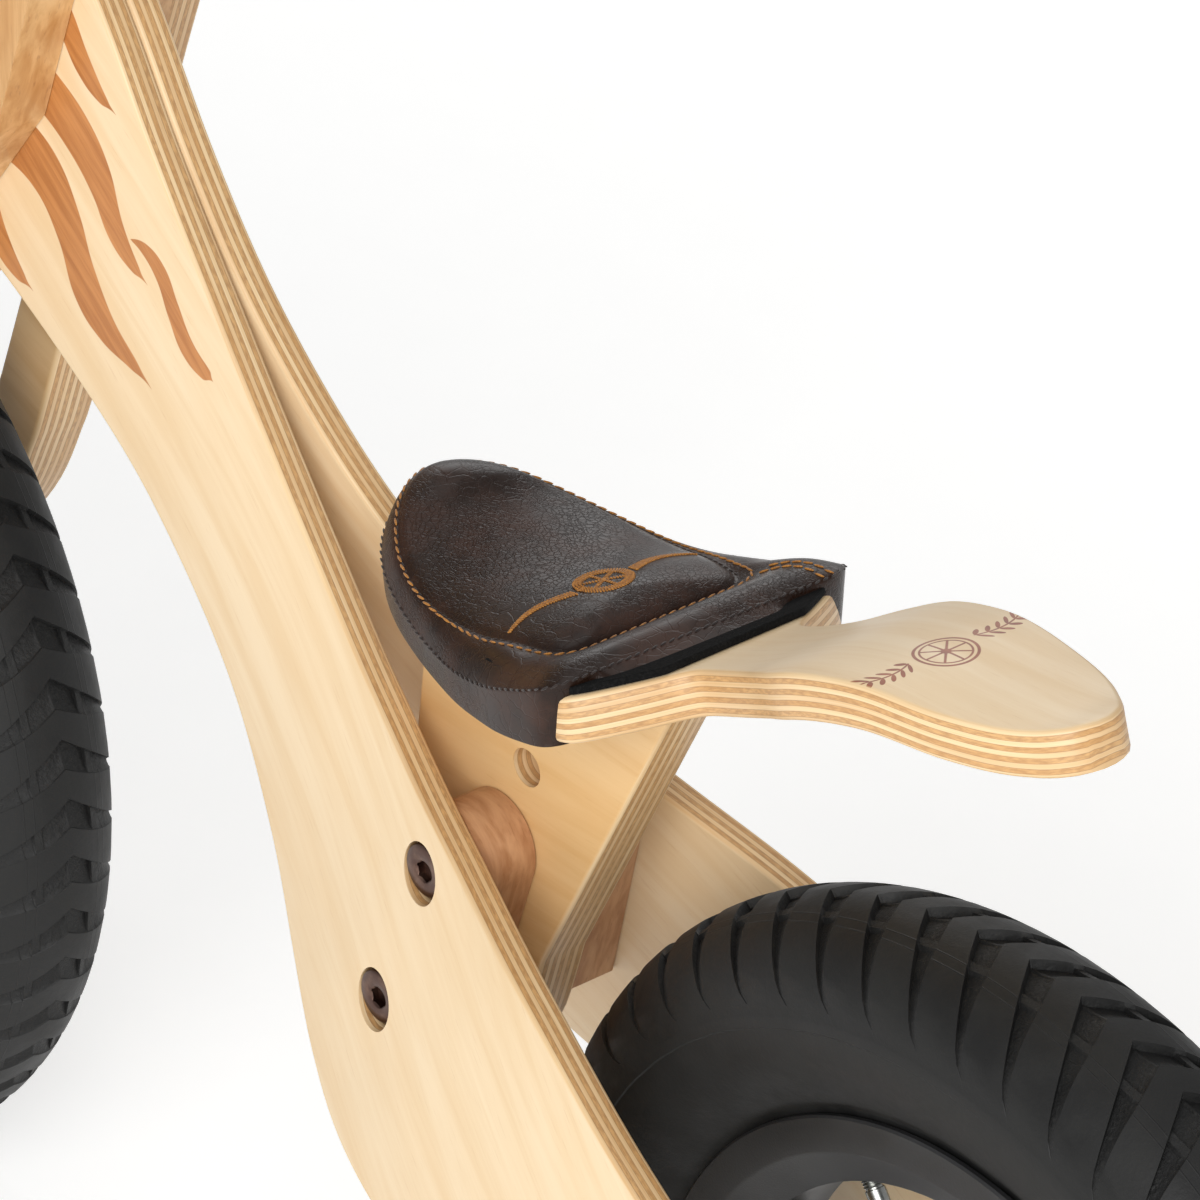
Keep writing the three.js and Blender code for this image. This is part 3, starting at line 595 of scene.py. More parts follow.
# ---- seat deck ----
# One long S of 12 mm birch plywood in nine layers, formed over a mould: broad under the saddle, waisted
# behind it and broad again at the rounded tail. Two screws under the saddle hold it to the plate.
DECK_HALF = [(-21, 2), (-18, 8), (-10, 14.5), (-2, 18.5), (8, 21.5), (18, 23.5), (30, 25), (42, 26),
             (57, 26.6), (64, 25.8), (70, 23.8), (75, 21.7), (80, 19.6), (85, 18.2), (90, 17.3), (95, 16.8),
             (100, 17.4), (103, 21), (106, 26.5), (109, 31.5), (112, 36.3), (115, 40.5), (118, 43),
             (125, 43.3), (138, 42.3), (150, 40), (160, 37.8), (172, 34.5), (185, 30.9), (195, 28),
             (205, 23.5), (213, 17), (218, 9)]


def tail_mark(tree, x, y):
    """1 inside a plain burnt mark on the tail: a spoked ring between two small sprigs."""
    along, across = calc(tree, "SUBTRACT", x, 32.0), y
    away = calc(tree, "SQRT", calc(tree, "ADD", calc(tree, "POWER", along, 2.0),
                                  calc(tree, "POWER", across, 2.0)))

    def line(distance, half):
        return ease_between(tree, distance, half, half + 0.22, 1, 0)

    def ring(radius, half):
        return line(calc(tree, "ABSOLUTE", calc(tree, "SUBTRACT", away, radius)), half)

    turn = calc(tree, "ARCTAN2", across, along)
    spoke = calc(tree, "ABSOLUTE", calc(tree, "MULTIPLY",
                                        calc(tree, "SINE", calc(tree, "MULTIPLY", turn, 4.0)),
                                        calc(tree, "DIVIDE", away, 4.0)))
    spokes = calc(tree, "MULTIPLY", line(spoke, 0.2), ease_between(tree, away, 6.0, 6.3, 1, 0))
    mark = calc(tree, "MAXIMUM", ring(7.6, 0.28), calc(tree, "MAXIMUM", ring(6.2, 0.16), spokes))
    mark = calc(tree, "MAXIMUM", mark, ease_between(tree, away, 1.2, 1.4, 1, 0))
    # the sprigs: a bowed stem on each side, with leaves in pairs along it
    out = calc(tree, "ABSOLUTE", across)
    bowed = calc(tree, "SUBTRACT", along, calc(tree, "MULTIPLY", calc(tree, "POWER", calc(
        tree, "SUBTRACT", out, 17.0), 2.0), 0.035))
    in_sprig = calc(tree, "MULTIPLY", ease_between(tree, out, 10, 10.3),
                    ease_between(tree, out, 25, 25.3, 1, 0))
    stem = line(calc(tree, "ABSOLUTE", bowed), 0.18)
    step = calc(tree, "SUBTRACT", calc(tree, "MULTIPLY", calc(tree, "FRACT", calc(
        tree, "DIVIDE", calc(tree, "SUBTRACT", out, calc(tree, "MULTIPLY", calc(
            tree, "ABSOLUTE", bowed), 0.7)), 3.0)), 3.0), 1.5)
    beside = calc(tree, "SUBTRACT", calc(tree, "ABSOLUTE", bowed), 1.7)
    leaf = calc(tree, "ADD", calc(tree, "POWER", calc(tree, "DIVIDE", step, 0.75), 2.0),
                calc(tree, "POWER", calc(tree, "DIVIDE", beside, 1.5), 2.0))
    sprig = calc(tree, "MULTIPLY", calc(tree, "MAXIMUM", stem, ease_between(tree, leaf, 0.85, 1.1, 1, 0)),
                 in_sprig)
    return calc(tree, "MAXIMUM", mark, sprig)


deck_ply = birch_ply("birch_plywood_deck_satin_lacquer", DECK_THICK, 9, stained=tail_mark,
                     stain=("#8A4A30", "#A5603F"))
half_line = [(x / 2, through(DECK_HALF, x / 2)) for x in range(-42, 437, 3)]
deck_outline = [(x, -y) for x, y in half_line] + [(x, y) for x, y in reversed(half_line)]
deck = board("seat_deck_formed", deck_outline, DECK_THICK, 1.6, range(-18, 218, 4),
             lambda x, y, depth: at(under_deck(x, depth)[0], y, under_deck(x, depth)[1]), deck_ply)
fasten(deck, "frame", "birch_ply", "seat_deck")

# ---- saddle ----
# A foam pad in glossy dark brown leatherette with a fine creased grain: a crowned top panel, a side wall sewn
# to it, and a cap that wraps the front of the deck. Hook-and-loop tape holds its loose rear edge down.
PAD_HALF = [(114.6, 38.5), (115.2, 41.5), (116.6, 44.2), (119.5, 46.3), (130, 46.2), (140, 45.2),
            (150, 43.2), (160, 41), (172, 37.7), (185, 34.1), (195, 31.2), (205, 26.7), (213, 20.5),
            (219, 12), (222.5, 3)]
PAD_SEAM_HALF = [(133.5, 22), (134.5, 26), (137, 28.6), (142, 30), (150, 31.2), (160, 32.4), (170, 32.3),
                 (180, 31.6), (190, 29.6), (200, 25.4), (208, 19.6), (214, 13.4), (218, 7), (219.6, 2)]
PAD_SEAM_HEIGHT = [(130, 345.4), (142, 344.3), (150, 343.1), (160, 340.6), (170, 339.4), (180, 339.2),
                   (190, 340), (200, 342.2), (208, 345.6), (214, 347.8), (220, 349.2)]
WALL_SEAM_DROP = [(108, 4.6), (117, 4.0), (130, 1.2), (150, -3), (170, -5), (224, -5)]


def spread(line, count):
    """The open line as count points, evenly spaced."""
    spots = [Vector(p) for p in line]
    runs = [0.0]
    for a, b in zip(spots, spots[1:]):
        runs.append(runs[-1] + (b - a).length)
    made, i = [], 0
    for k in range(count):
        reach = runs[-1] * k / (count - 1)
        while i < len(runs) - 2 and runs[i + 1] < reach:
            i += 1
        share = (reach - runs[i]) / max(runs[i + 1] - runs[i], 1e-9)
        made.append(spots[i].lerp(spots[i + 1], min(share, 1.0)))
    return made


def pad_loop(half, rear, tip, sides, across_rear):
    """A closed plan loop of the pad: the right side to the nose, back along the left, across the rear."""
    side = [(x, through(half, x)) for x in [rear + (tip - rear) * k / 120 for k in range(121)]]
    side = spread(side, sides)
    right = [(p.x, -p.y) for p in side]
    left = [(p.x, p.y) for p in reversed(side)]
    y = side[0].y
    rear_run = [(rear, y - 2 * y * k / (across_rear + 1)) for k in range(1, across_rear + 1)]
    return right + left + rear_run


SIDES, REAR = 44, 17
outer_loop = pad_loop(PAD_HALF, 114.6, 222.5, SIDES, REAR)
outer_loop = [(x + 0.05 * y * max(0, 1 - (x - 114.6) / 34), y) for x, y in outer_loop]
seam_loop = pad_loop(PAD_SEAM_HALF, 133.5, 219.6, SIDES, REAR)


def lower_edge(i, y):
    """How far the pad's lower edge lies under the deck's upper face, and behind the seam above it.
    The cap wraps the deck's edge, and only the rear flap lies on top of the deck."""
    if i < 2 * SIDES:
        return 13.6, 0
    if y < -25:
        return 10, 3
    return -1.2, 7 * (1 - (y / 40) ** 4)


pad_rings = []
for shrink, share in ((2.4, 1.0), (0.9, 1.0), (0.5, 0.66), (0.3, 0.33)):
    ring = []
    for i, (x, y) in enumerate(outer_loop):
        under, behind = lower_edge(i, y)
        drop = through(WALL_SEAM_DROP, x) - (through(WALL_SEAM_DROP, x) + under) * share
        back = behind * share
        ring.append((x - (shrink if x > 215 else back), y * (1 - shrink / max(abs(y), 8)),
                     deck_top(x - back) + drop))
    pad_rings.append(ring)
pad_rings.append([(x, y, deck_top(x) + through(WALL_SEAM_DROP, x)) for x, y in outer_loop])
for share in (0.14, 0.32, 0.55, 0.78):
    ring = []
    for (x, y), (x1, y1) in zip(outer_loop, seam_loop):
        low = deck_top(x) + through(WALL_SEAM_DROP, x)
        high = through(PAD_SEAM_HEIGHT, x1)
        roll = 1.2 + 2.6 * max(0, min(1, (128 - x) / 10))
        bulge = roll * math.sin(math.pi * min(share, 0.8) / 0.9)
        ring.append((x + (x1 - x) * share, y + (y1 - y) * share, low + (high - low) * share ** 0.85 + bulge))
    pad_rings.append(ring)
pad_rings.append([(x, y, through(PAD_SEAM_HEIGHT, x) - 0.8) for x, y in seam_loop])
SPINE = (146, 206)
for share in (0.06, 0.16, 0.3, 0.48, 0.68, 0.86):
    ring = []
    for x, y in seam_loop:
        x1 = min(max(x, SPINE[0]), SPINE[1])
        x2, y2 = x + (x1 - x) * share, y * (1 - share)
        crown = 4.2 * (1 - (1 - share) ** 2.2)
        ring.append((x2, y2, through(PAD_SEAM_HEIGHT, x2) + crown))
    pad_rings.append(ring)
pad_mesh = bmesh.new()
pad_loops = [[pad_mesh.verts.new(at(*p)) for p in ring] for ring in pad_rings]
around = len(outer_loop)
for lower, upper in zip(pad_loops, pad_loops[1:]):
    for i in range(around):
        k = (i + 1) % around
        pad_mesh.faces.new((lower[i], lower[k], upper[k], upper[i]))
# the top closes along its middle, and the underside is filled flat
inner = pad_loops[-1]
spine_rows = [(inner[i], inner[2 * SIDES - 1 - i]) for i in range(SIDES)]
for (a, b), (c, d) in zip(spine_rows, spine_rows[1:]):
    pad_mesh.faces.new((a, c, d, b))
pad_mesh.faces.new([inner[0], inner[2 * SIDES - 1]] + inner[2 * SIDES:])
foot_rows = [(pad_loops[0][i], pad_loops[0][2 * SIDES - 1 - i]) for i in range(SIDES)]
for (a, b), (c, d) in zip(foot_rows, foot_rows[1:]):
    pad_mesh.faces.new((a, b, d, c))
pad_mesh.faces.new([pad_loops[0][2 * SIDES - 1], pad_loops[0][0]] + list(reversed(pad_loops[0][2 * SIDES:])))
bmesh.ops.recalc_face_normals(pad_mesh, faces=pad_mesh.faces[:])
bmesh.ops.triangulate(pad_mesh, faces=[f for f in pad_mesh.faces if len(f.verts) > 4])
crease = pad_mesh.edges.layers.float.new("crease_edge")
WALL_SEAM_RING, TOP_SEAM_RING = 4, 9
for ring, strength in ((WALL_SEAM_RING, 0.8), (TOP_SEAM_RING, 0.75), (1, 0.6)):
    for i in range(around):
        edge = pad_mesh.edges.get((pad_loops[ring][i], pad_loops[ring][(i + 1) % around]))
        edge[crease] = strength

# Leatherette: a glossy dark brown polyurethane skin on cloth, embossed with fine creases a millimetre or so
# across that run together into wrinkles, and rubbed warmer on the high places.
leatherette, tree, shader = finish_named("leatherette_dark_brown_gloss", IOR=1.45, Specular_IOR_Level=0.24,
                                         Coat_Weight=0.08, Coat_Roughness=0.2)
place = add(tree, "ShaderNodeTexCoord").outputs["Object"]
warp = add(tree, "ShaderNodeTexNoise",
           inputs={"Vector": place, "Scale": 90.0, "Detail": 3.0}).outputs["Color"]
warped = add(tree, "ShaderNodeVectorMath", {"operation": "MULTIPLY_ADD"},
             {0: warp, 1: (0.006, 0.006, 0.006), 2: place}).outputs[0]
cells = add(tree, "ShaderNodeTexVoronoi", {"feature": "DISTANCE_TO_EDGE"},
            {"Vector": warped, "Scale": 750.0}).outputs["Distance"]
wrinkles = add(tree, "ShaderNodeTexVoronoi", {"feature": "DISTANCE_TO_EDGE"},
               {"Vector": warped, "Scale": 210.0}).outputs["Distance"]
worn = noise(tree, place, (45, 45, 45), 4, 0.65)
grainy = ease_between(tree, noise(tree, place, (28, 28, 28), 3), 0.35, 0.62)
creases = calc(tree, "ADD", calc(tree, "MULTIPLY", ease_between(tree, cells, 0.0, 0.12), grainy),
               calc(tree, "MULTIPLY", ease_between(tree, wrinkles, 0.0, 0.05), 0.35))
skin = blend_colours(tree, ease_between(tree, worn, 0.38, 0.68), linear("#22140D"), linear("#3A241A"))
# Painted shade: the fine creases of the grain are painted darker.
skin = blend_colours(tree, ease_between(tree, cells, 0.0, 0.07, 0.4, 0), skin, linear("#150D0A"))
tree.links.new(skin, shader.inputs["Base Color"])
tree.links.new(ease_between(tree, worn, 0.3, 0.7, 0.26, 0.38), shader.inputs["Roughness"])
emboss(tree, shader, 0.5, 0.0003, creases)

pad = settle(pad_mesh, "saddle_pad_cover", leatherette, 80)
at_rest = [v.co.copy() for v in pad.data.vertices]
held = pad.vertex_groups.new(name="sewn")
sewn_rings = (0, 1, WALL_SEAM_RING, TOP_SEAM_RING)
held.add([r * around + i for r in sewn_rings for i in range(around)], 1.0, "REPLACE")
filling = pad.modifiers.new("filling", "CLOTH")
filling.settings.use_pressure = True
filling.settings.uniform_pressure_force = 4
filling.settings.vertex_group_mass = "sewn"
filling.settings.effector_weights.gravity = 0
filling.settings.quality = 6
for moment in range(1, 21):
    bpy.context.scene.frame_set(moment)
filled = bpy.data.meshes.new_from_object(pad.evaluated_get(bpy.context.evaluated_depsgraph_get()))
FURTHEST = 0.0032
swollen = []
for before, vert in zip(at_rest, filled.vertices):
    move = vert.co - before
    if move.length > FURTHEST:
        move *= FURTHEST / move.length
    swollen.append(before + move)
pad.modifiers.clear()
for vert, spot in zip(pad.data.vertices, swollen):
    vert.co = spot
bpy.context.scene.frame_set(1)
ring_spots = [[pad.data.vertices[r * around + i].co.copy() for i in range(around)]
              for r in range(len(pad_rings))]
rounding = pad.modifiers.new("rounding", "SUBSURF")
rounding.levels = rounding.render_levels = 2
fasten(pad, "frame", "leatherette", "saddle_pad")

# Sewing thread: bonded polyester, ochre on show and dark brown in the seams, in slanting stitches.
def thread(name, colour, deep):
    finish, tree, shader = finish_named(name, IOR=1.45, Sheen_Weight=0.2, Roughness=0.6)
    place = add(tree, "ShaderNodeTexCoord").outputs["Object"]
    twist = noise(tree, place, (3200, 1400, 1400), 2)
    tree.links.new(blend_colours(tree, ease_between(tree, twist, 0.35, 0.65), linear(colour), linear(deep)),
                   shader.inputs["Base Color"])
    emboss(tree, shader, 0.5, 0.0001, twist)
    return finish


ochre_thread = thread("polyester_thread_ochre", "#B97C2C", "#8A5518")
brown_thread = thread("polyester_thread_dark_brown", "#2A1913", "#140C09")


def node_group(name, inputs):
    """An empty geometry tree with one geometry in and out and the named inputs, given as (name, kind)."""
    tree = bpy.data.node_groups.new(name, "GeometryNodeTree")
    tree.interface.new_socket("Geometry", in_out="INPUT", socket_type="NodeSocketGeometry")
    tree.interface.new_socket("Geometry", in_out="OUTPUT", socket_type="NodeSocketGeometry")
    for title, kind in inputs:
        tree.interface.new_socket(title, in_out="INPUT", socket_type=kind)
    return tree, tree.nodes.new("NodeGroupInput"), tree.nodes.new("NodeGroupOutput")


def made_by(tree, name, mesh, values):
    """The plain mesh that the tree makes from the given mesh and named inputs."""
    holder = bpy.data.objects.new(name, mesh)
    bpy.context.scene.collection.objects.link(holder)
    repeat = holder.modifiers.new("repeat", "NODES")
    repeat.node_group = tree
    for item in tree.interface.items_tree:
        if item.in_out == "INPUT" and item.name in values:
            repeat[item.identifier] = values[item.name]
    result = bpy.data.meshes.new_from_object(holder.evaluated_get(bpy.context.evaluated_depsgraph_get()))
    holder.modifiers.clear()
    bpy.data.objects.remove(holder)
    result.name = name
    return result


stitching, group_in, group_out = node_group("row_of_stitches", [
    ("Pitch", "NodeSocketFloat"), ("Stitch Size", "NodeSocketVector"), ("Slant", "NodeSocketFloat"),
    ("Thread", "NodeSocketMaterial")])
line = add(stitching, "GeometryNodeMeshToCurve", inputs={0: group_in.outputs["Geometry"]})
spaced = add(stitching, "GeometryNodeResampleCurve", {"mode": "LENGTH"}, {
    "Curve": line.outputs[0], "Length": group_in.outputs["Pitch"]})
tangent = add(stitching, "GeometryNodeInputTangent")
facing = add(stitching, "FunctionNodeAlignRotationToVector", {"axis": "X"}, {"Vector": tangent.outputs[0]})
slant = add(stitching, "ShaderNodeCombineXYZ", inputs={2: group_in.outputs["Slant"]})
turned_by = add(stitching, "FunctionNodeRotateRotation", {"rotation_space": "LOCAL"},
                {0: facing.outputs[0], 1: slant.outputs[0]})
bead = add(stitching, "GeometryNodeMeshIcoSphere", inputs={"Radius": 1.0, "Subdivisions": 2})
sized = add(stitching, "GeometryNodeTransform", inputs={"Geometry": bead.outputs[0]})
stitching.links.new(group_in.outputs["Stitch Size"], sized.inputs["Scale"])
sewn_on = add(stitching, "GeometryNodeInstanceOnPoints", inputs={
    "Points": spaced.outputs[0], "Instance": sized.outputs[0], "Rotation": turned_by.outputs[0]})
real = add(stitching, "GeometryNodeRealizeInstances", inputs={0: sewn_on.outputs[0]})
dyed = add(stitching, "GeometryNodeSetMaterial", inputs={
    "Geometry": real.outputs[0], "Material": group_in.outputs["Thread"]})
stitching.links.new(dyed.outputs[0], group_out.inputs[0])


def stitched(name, path, pitch, size, slant, material, closed=False):
    mesh = bpy.data.meshes.new(name)
    count = len(path)
    edges = [(i, (i + 1) % count) for i in range(count if closed else count - 1)]
    mesh.from_pydata(path, edges, [])
    result = made_by(stitching, name, mesh, {
        "Pitch": pitch / 1000, "Stitch Size": tuple(s / 1000 for s in size), "Slant": slant,
        "Thread": material})
    result.shade_smooth()
    row = bpy.data.objects.new(name, result)
    bpy.context.scene.collection.objects.link(row)
    return fasten(row, "frame", "leatherette")


cover = bpy.data.meshes.new_from_object(pad.evaluated_get(bpy.context.evaluated_depsgraph_get()))
skin_tree = BVHTree.FromPolygons([v.co for v in cover.vertices], [p.vertices for p in cover.polygons])


def onto_skin(path, lift):
    """The path moved onto the pad's cover, lift millimetres above it."""
    made = []
    for spot in path:
        hit, normal, face, distance = skin_tree.find_nearest(spot)
        made.append(hit + normal * lift / 1000)
    return made


def between_rings(ring, share):
    return [a.lerp(b, share) for a, b in zip(ring_spots[ring], ring_spots[ring + 1])]


stitched("saddle_topstitch_ochre", onto_skin(between_rings(8, 0.35), 0.1), 3.1, (1.5, 0.34, 0.3), 0.22,
         ochre_thread, True)
wall_seam = onto_skin(ring_spots[WALL_SEAM_RING], 0.1)
stitched("saddle_wall_seam_thread", wall_seam, 2.6, (1.2, 0.3, 0.25), 0.3, brown_thread, True)
top_seam = onto_skin(between_rings(TOP_SEAM_RING - 1, 0.9), -0.05)
stitched("saddle_top_seam_thread", top_seam, 2.4, (1.1, 0.24, 0.22), 0.15, brown_thread, True)
# two short rows hold the joint in the rear wall, near its right end
for i, y in enumerate((-35.5, -38.6)):
    row = [at(112 + 20 * k / 24, y + 6 * (k / 24) ** 2, 0) for k in range(3, 22)]
    row = [Vector((p.x, p.y, 0.5)) for p in row]
    dropped = []
    for p in row:
        hit, normal, face, distance = skin_tree.ray_cast(p, Vector((0, 0, -1)))
        if hit:
            dropped.append(hit + normal * 0.0001)
    stitched(f"saddle_joint_stitch_{i + 1}", dropped, 3.0, (1.4, 0.33, 0.3), 0.2, ochre_thread)

# the mark on the saddle: a plain sewn wheel between two tapering bars, in close satin stitch
MARK_X = 153
mark_rows = []
for radius in (5.2, 5.9, 6.6):
    mark_rows.append(([(MARK_X + radius * math.cos(t), 1.15 * radius * math.sin(t)) for t in
                       (2 * math.pi * k / 60 for k in range(60))], True))
for sign in (1, -1):
    for k in range(4):
        lift = (k - 1.5) * 0.75
        mark_rows.append(([(MARK_X + lift * (1 - u) + 2.5 * math.sin(math.pi * u), sign * (9.5 + 20 * u))
                           for u in (j / 20 for j in range(21))], False))
for i in range(3):
    t = math.pi * i / 3
    stroke = [(MARK_X + 4.6 * u * math.cos(t), 5 * u * math.sin(t)) for u in (-1, -0.5, 0, 0.5, 1)]
    mark_rows.append((stroke, False))
for i, (row, closed) in enumerate(mark_rows):
    dropped = []
    for x, y in row:
        hit, normal, face, distance = skin_tree.ray_cast(at(x, y, 500), Vector((0, 0, -1)))
        dropped.append(hit + normal * 0.00012)
    stitched(f"saddle_sewn_mark_{i + 1}", dropped, 0.75, (0.3, 0.62, 0.26), 0.35, ochre_thread, closed)

# Hook-and-loop tape: black woven nylon under the pad's rear edge, with a rough matt pile.
tape, tree, shader = finish_named("nylon_hook_and_loop_tape_black", Roughness=0.95, Specular_IOR_Level=0.2)
place = add(tree, "ShaderNodeTexCoord").outputs["Object"]
pile = noise(tree, place, (1400, 1400, 1400), 4, 0.7)
tree.links.new(blend_colours(tree, ease_between(tree, pile, 0.4, 0.7), linear("#060606"), linear("#181818")),
               shader.inputs["Base Color"])
emboss(tree, shader, 0.9, 0.0006, pile)
# The tape reaches forward to x = 104 and out almost to the deck's edge, so that it covers the deck's shoulder
# in black: partly the real tape layer, partly a dark sheet standing in for the shade under the pad's rear
# edge.
tape_line = [(x, min(41, through(DECK_HALF, x) - 0.8)) for x in range(104, 151, 2)]
tape_outline = evenly([(x, -y) for x, y in tape_line] + [(x, y) for x, y in reversed(tape_line)], 4)
TAPE_THICK = 2.0
layer = board("hook_and_loop_tape_layer", tape_outline, TAPE_THICK, 0.4, range(106, 150, 4),
              lambda x, y, depth: at(under_deck(x, depth - 2.2)[0], y, under_deck(x, depth - 2.2)[1]), tape)
fasten(layer, "frame", "webbing", "hook_and_loop_layer")

# ---- steering head ----
# A block of beech, rounded in front and slotted behind, takes the two panels in its slot. Two socket bolts
# clamp its cheeks. Flanged nylon bushes are pressed into it above and below, and the spindle turns in them.
HEAD_LOW, HEAD_HIGH = 216, 334
block_wood = solid_wood("beech_head_block_satin_lacquer", "#D8AE7A", "#B98750", (170, 170, 22))
block_outline = [(-38, -25), (0, -25)] + [(25 * math.sin(t), -25 * math.cos(t)) for t in (
    math.pi * i / 30 for i in range(1, 30))] + [(0, 25), (-38, 25), (-38, 9.5), (-14, 9.5), (-14, -9.5),
                                                (-38, -9.5)]


def head_bore(s, y_from, y_to, radius):
    rings = []
    for y in (y_from, y_to):
        rings.append([(HEAD_BOLT_X + radius * math.cos(t), y, s - HEAD_HIGH + radius * math.sin(t)) for t in (
            2 * math.pi * i / 32 for i in range(32))])
    return rings


head_bores = []
for s in HEAD_BOLTS:
    head_bores += [head_bore(s, 21.2, 30, 8), head_bore(s, -30, -21.2, 8), head_bore(s, -30, 30, 3.4)]
# the lower rear corner is swept away
sweep_line = [(-45, 210), (-20, 210), (-21, 215), (-24, 230), (-38, 274), (-45, 296)]
head_bores.append([[(x, y, s - HEAD_HIGH) for x, s in sweep_line] for y in (-30, 30)])


def on_head(x, y, s):
    spot = on_fork(x, s)
    return at(spot[0], y, spot[1])


head = board("head_block_shaped", block_outline, HEAD_HIGH - HEAD_LOW, 1.6, (),
             lambda x, y, depth: on_head(x, y, HEAD_HIGH - depth), block_wood, head_bores)
fasten(head, "frame", "birch_block", "head_block")
for place_name, s in zip(("lower", "upper"), HEAD_BOLTS):
    turned_piece(f"head_bolt_{place_name}_turned",
                 [(socket_bolt_rings(21.3, -16), on_head(HEAD_BOLT_X, 0, s), (0, 1, 0), True)],
                 bronze, "frame", "bronze_steel", f"head_bolt_{place_name}")
    nut = [(0, 21.3), (7.2, 21.3), (7.4, 21.6), (7.4, 23.8), (6.6, 24.6), (3.0, 24.7), (2.6, 24.3, "hex"),
           (2.6, 22.8, "hex"), (0, 22.6)]
    turned_piece(f"head_nut_{place_name}_turned", [(nut, on_head(HEAD_BOLT_X, 0, s), (0, -1, 0), True)],
                 bronze, "frame", "bronze_steel", f"head_nut_{place_name}")


# Moulded nylon: black, glass filled, with a fine spark-eroded texture and a soft even gloss.
def moulded_nylon(name, colour, faded, roughness):
    finish, tree, shader = finish_named(name, IOR=1.53)
    place = add(tree, "ShaderNodeTexCoord").outputs["Object"]
    erosion = noise(tree, place, (1800, 1800, 1800), 3, 0.6)
    flow = noise(tree, place, (35, 35, 35), 3)
    tree.links.new(blend_colours(tree, ease_between(tree, flow, 0.35, 0.7), linear(colour), linear(faded)),
                   shader.inputs["Base Color"])
    tree.links.new(ease_between(tree, flow, 0.3, 0.7, roughness - 0.05, roughness + 0.07),
                   shader.inputs["Roughness"])
    emboss(tree, shader, 0.35, 0.0002, erosion)
    return finish


bush_nylon = moulded_nylon("nylon_bush_black_moulded", "#1B1B1C", "#262627", 0.42)
up_head = on_head(0, 0, 1) - on_head(0, 0, 0)
for place_name, low, sign in (("lower", HEAD_LOW, -1), ("upper", HEAD_HIGH, 1)):
    bush = [(5.3, 3.4), (12.4, 3.4), (13, 2.9), (13, 0.5), (12.6, 0), (8.7, 0), (8.7, -22), (5.3, -22)]
    turned_piece(f"steering_bush_{place_name}_moulded", [(bush, on_head(0, 0, low), up_head * sign, False)],
                 bush_nylon, "frame", "bush_nylon", f"steering_bush_{place_name}")

# ---- fork ----
# Two 19 mm plywood blades stand outside two thick plywood yokes, each bolted through into the yokes' ends.
# The spindle is a long bolt down through both yokes and both bushes.
BLADE_INNER, BLADE_THICK = 44, 19
BAR_X, BAR_RISE = -2, 412
BLADE_LINE = [(41, -17), (41, -8), (41, 0), (38, 14), (30, 30), (20, 45), (9, 62), (2, 80), (-1, 100),
              (-2, 125), (-2, 250), (-2, 400), (-2, 428), (-2, 434)]
BLADE_WIDTH = [8, 29, 33, 30, 27, 25, 23, 21, 20, 20, 20, 24, 24, 14]
blade_ply = birch_ply("birch_plywood_blade_satin_lacquer", BLADE_THICK, 13, "#E2BD8C", "#C99A63")
middle = [Vector((x, s)) for x, s in BLADE_LINE]
right_side, left_side = [], []
for i, spot in enumerate(middle):
    run = (middle[min(i + 1, len(middle) - 1)] - middle[max(i - 1, 0)]).normalized()
    off = Vector((run.y, -run.x)) * BLADE_WIDTH[i] / 2
    right_side.append(spot + off)
    left_side.append(spot - off)
round_side = [tuple(p) for side_line in (right_side, left_side[::-1]) for p in curve_through(side_line, 4)]
blade_outline = evenly(round_side, 8)
for side, name in ((1, "left"), (-1, "right")):
    blade = board(f"fork_blade_{name}_cut", blade_outline, BLADE_THICK, 1.8, (),
                  lambda x, s, depth, side=side: on_head(x, side * (BLADE_INNER + BLADE_THICK - depth), s),
                  blade_ply, [bore_rings(41, 0, [(5.6, -3), (5.6, 22)]),
                              bore_rings(BAR_X, BAR_RISE, [(11.6, -3), (11.6, 22)])],
                  mirrored=side > 0)
    fasten(blade, "fork", "birch_ply", f"fork_blade_{name}")

YOKE_THICK = 16
yoke_ply = birch_ply("birch_plywood_yoke_satin_lacquer", YOKE_THICK, 11, "#E2BD8C", "#C99A63")
yoke_outline = evenly([(-11, -43.7), (7, -43.7), (9, -34), (19, -18), (21, 0), (19, 18), (9, 34), (7, 43.7),
                       (-11, 43.7), (-13, 34), (-21, 18), (-23, 0), (-21, -18), (-13, -34)], 5)
for place_name, low in (("lower", 196), ("upper", 338)):
    yoke = board(f"yoke_{place_name}_cut", yoke_outline, YOKE_THICK, 1.6, (),
                 lambda x, y, depth, low=low: on_head(x, y, low + YOKE_THICK - depth), yoke_ply,
                 [bore_rings(0, 0, [(5.4, -3), (5.4, 19)])])
    fasten(yoke, "fork", "birch_ply", f"yoke_{place_name}")
    for side, name in ((1, "left"), (-1, "right")):
        turned_piece(f"yoke_bolt_{place_name}_{name}_turned",
                     [(socket_bolt_rings(63.3, 18), on_head(-2, 0, low + 8), (0, side, 0), True)],
                     bronze, "fork", "bronze_steel", f"yoke_bolt_{place_name}_{name}")
spindle = [(0, 182), (4.4, 182), (5, 182.8), (5, 354.3), (8.6, 354.3), (9, 354.7), (10.5, 358.8),
           (10.3, 360), (9.8, 360.3), (4.2, 360.3), (4, 360, "hex"), (4, 356.5, "hex"), (0, 356.2)]
turned_piece("steering_spindle_turned", [(spindle, on_head(0, 0, 0), up_head, True)], zinc, "fork", "steel",
             "steering_spindle")
locknut = [(5.2, 186.7), (8.4, 186.7), (9, 187.2, "hex"), (9, 193.6, "hex"), (7.4, 194.2), (7.2, 195.7),
           (5.2, 195.7)]
turned_piece("steering_nut_turned", [(locknut, on_head(0, 0, 0), up_head, False)], zinc, "fork", "steel",
             "steering_nut")

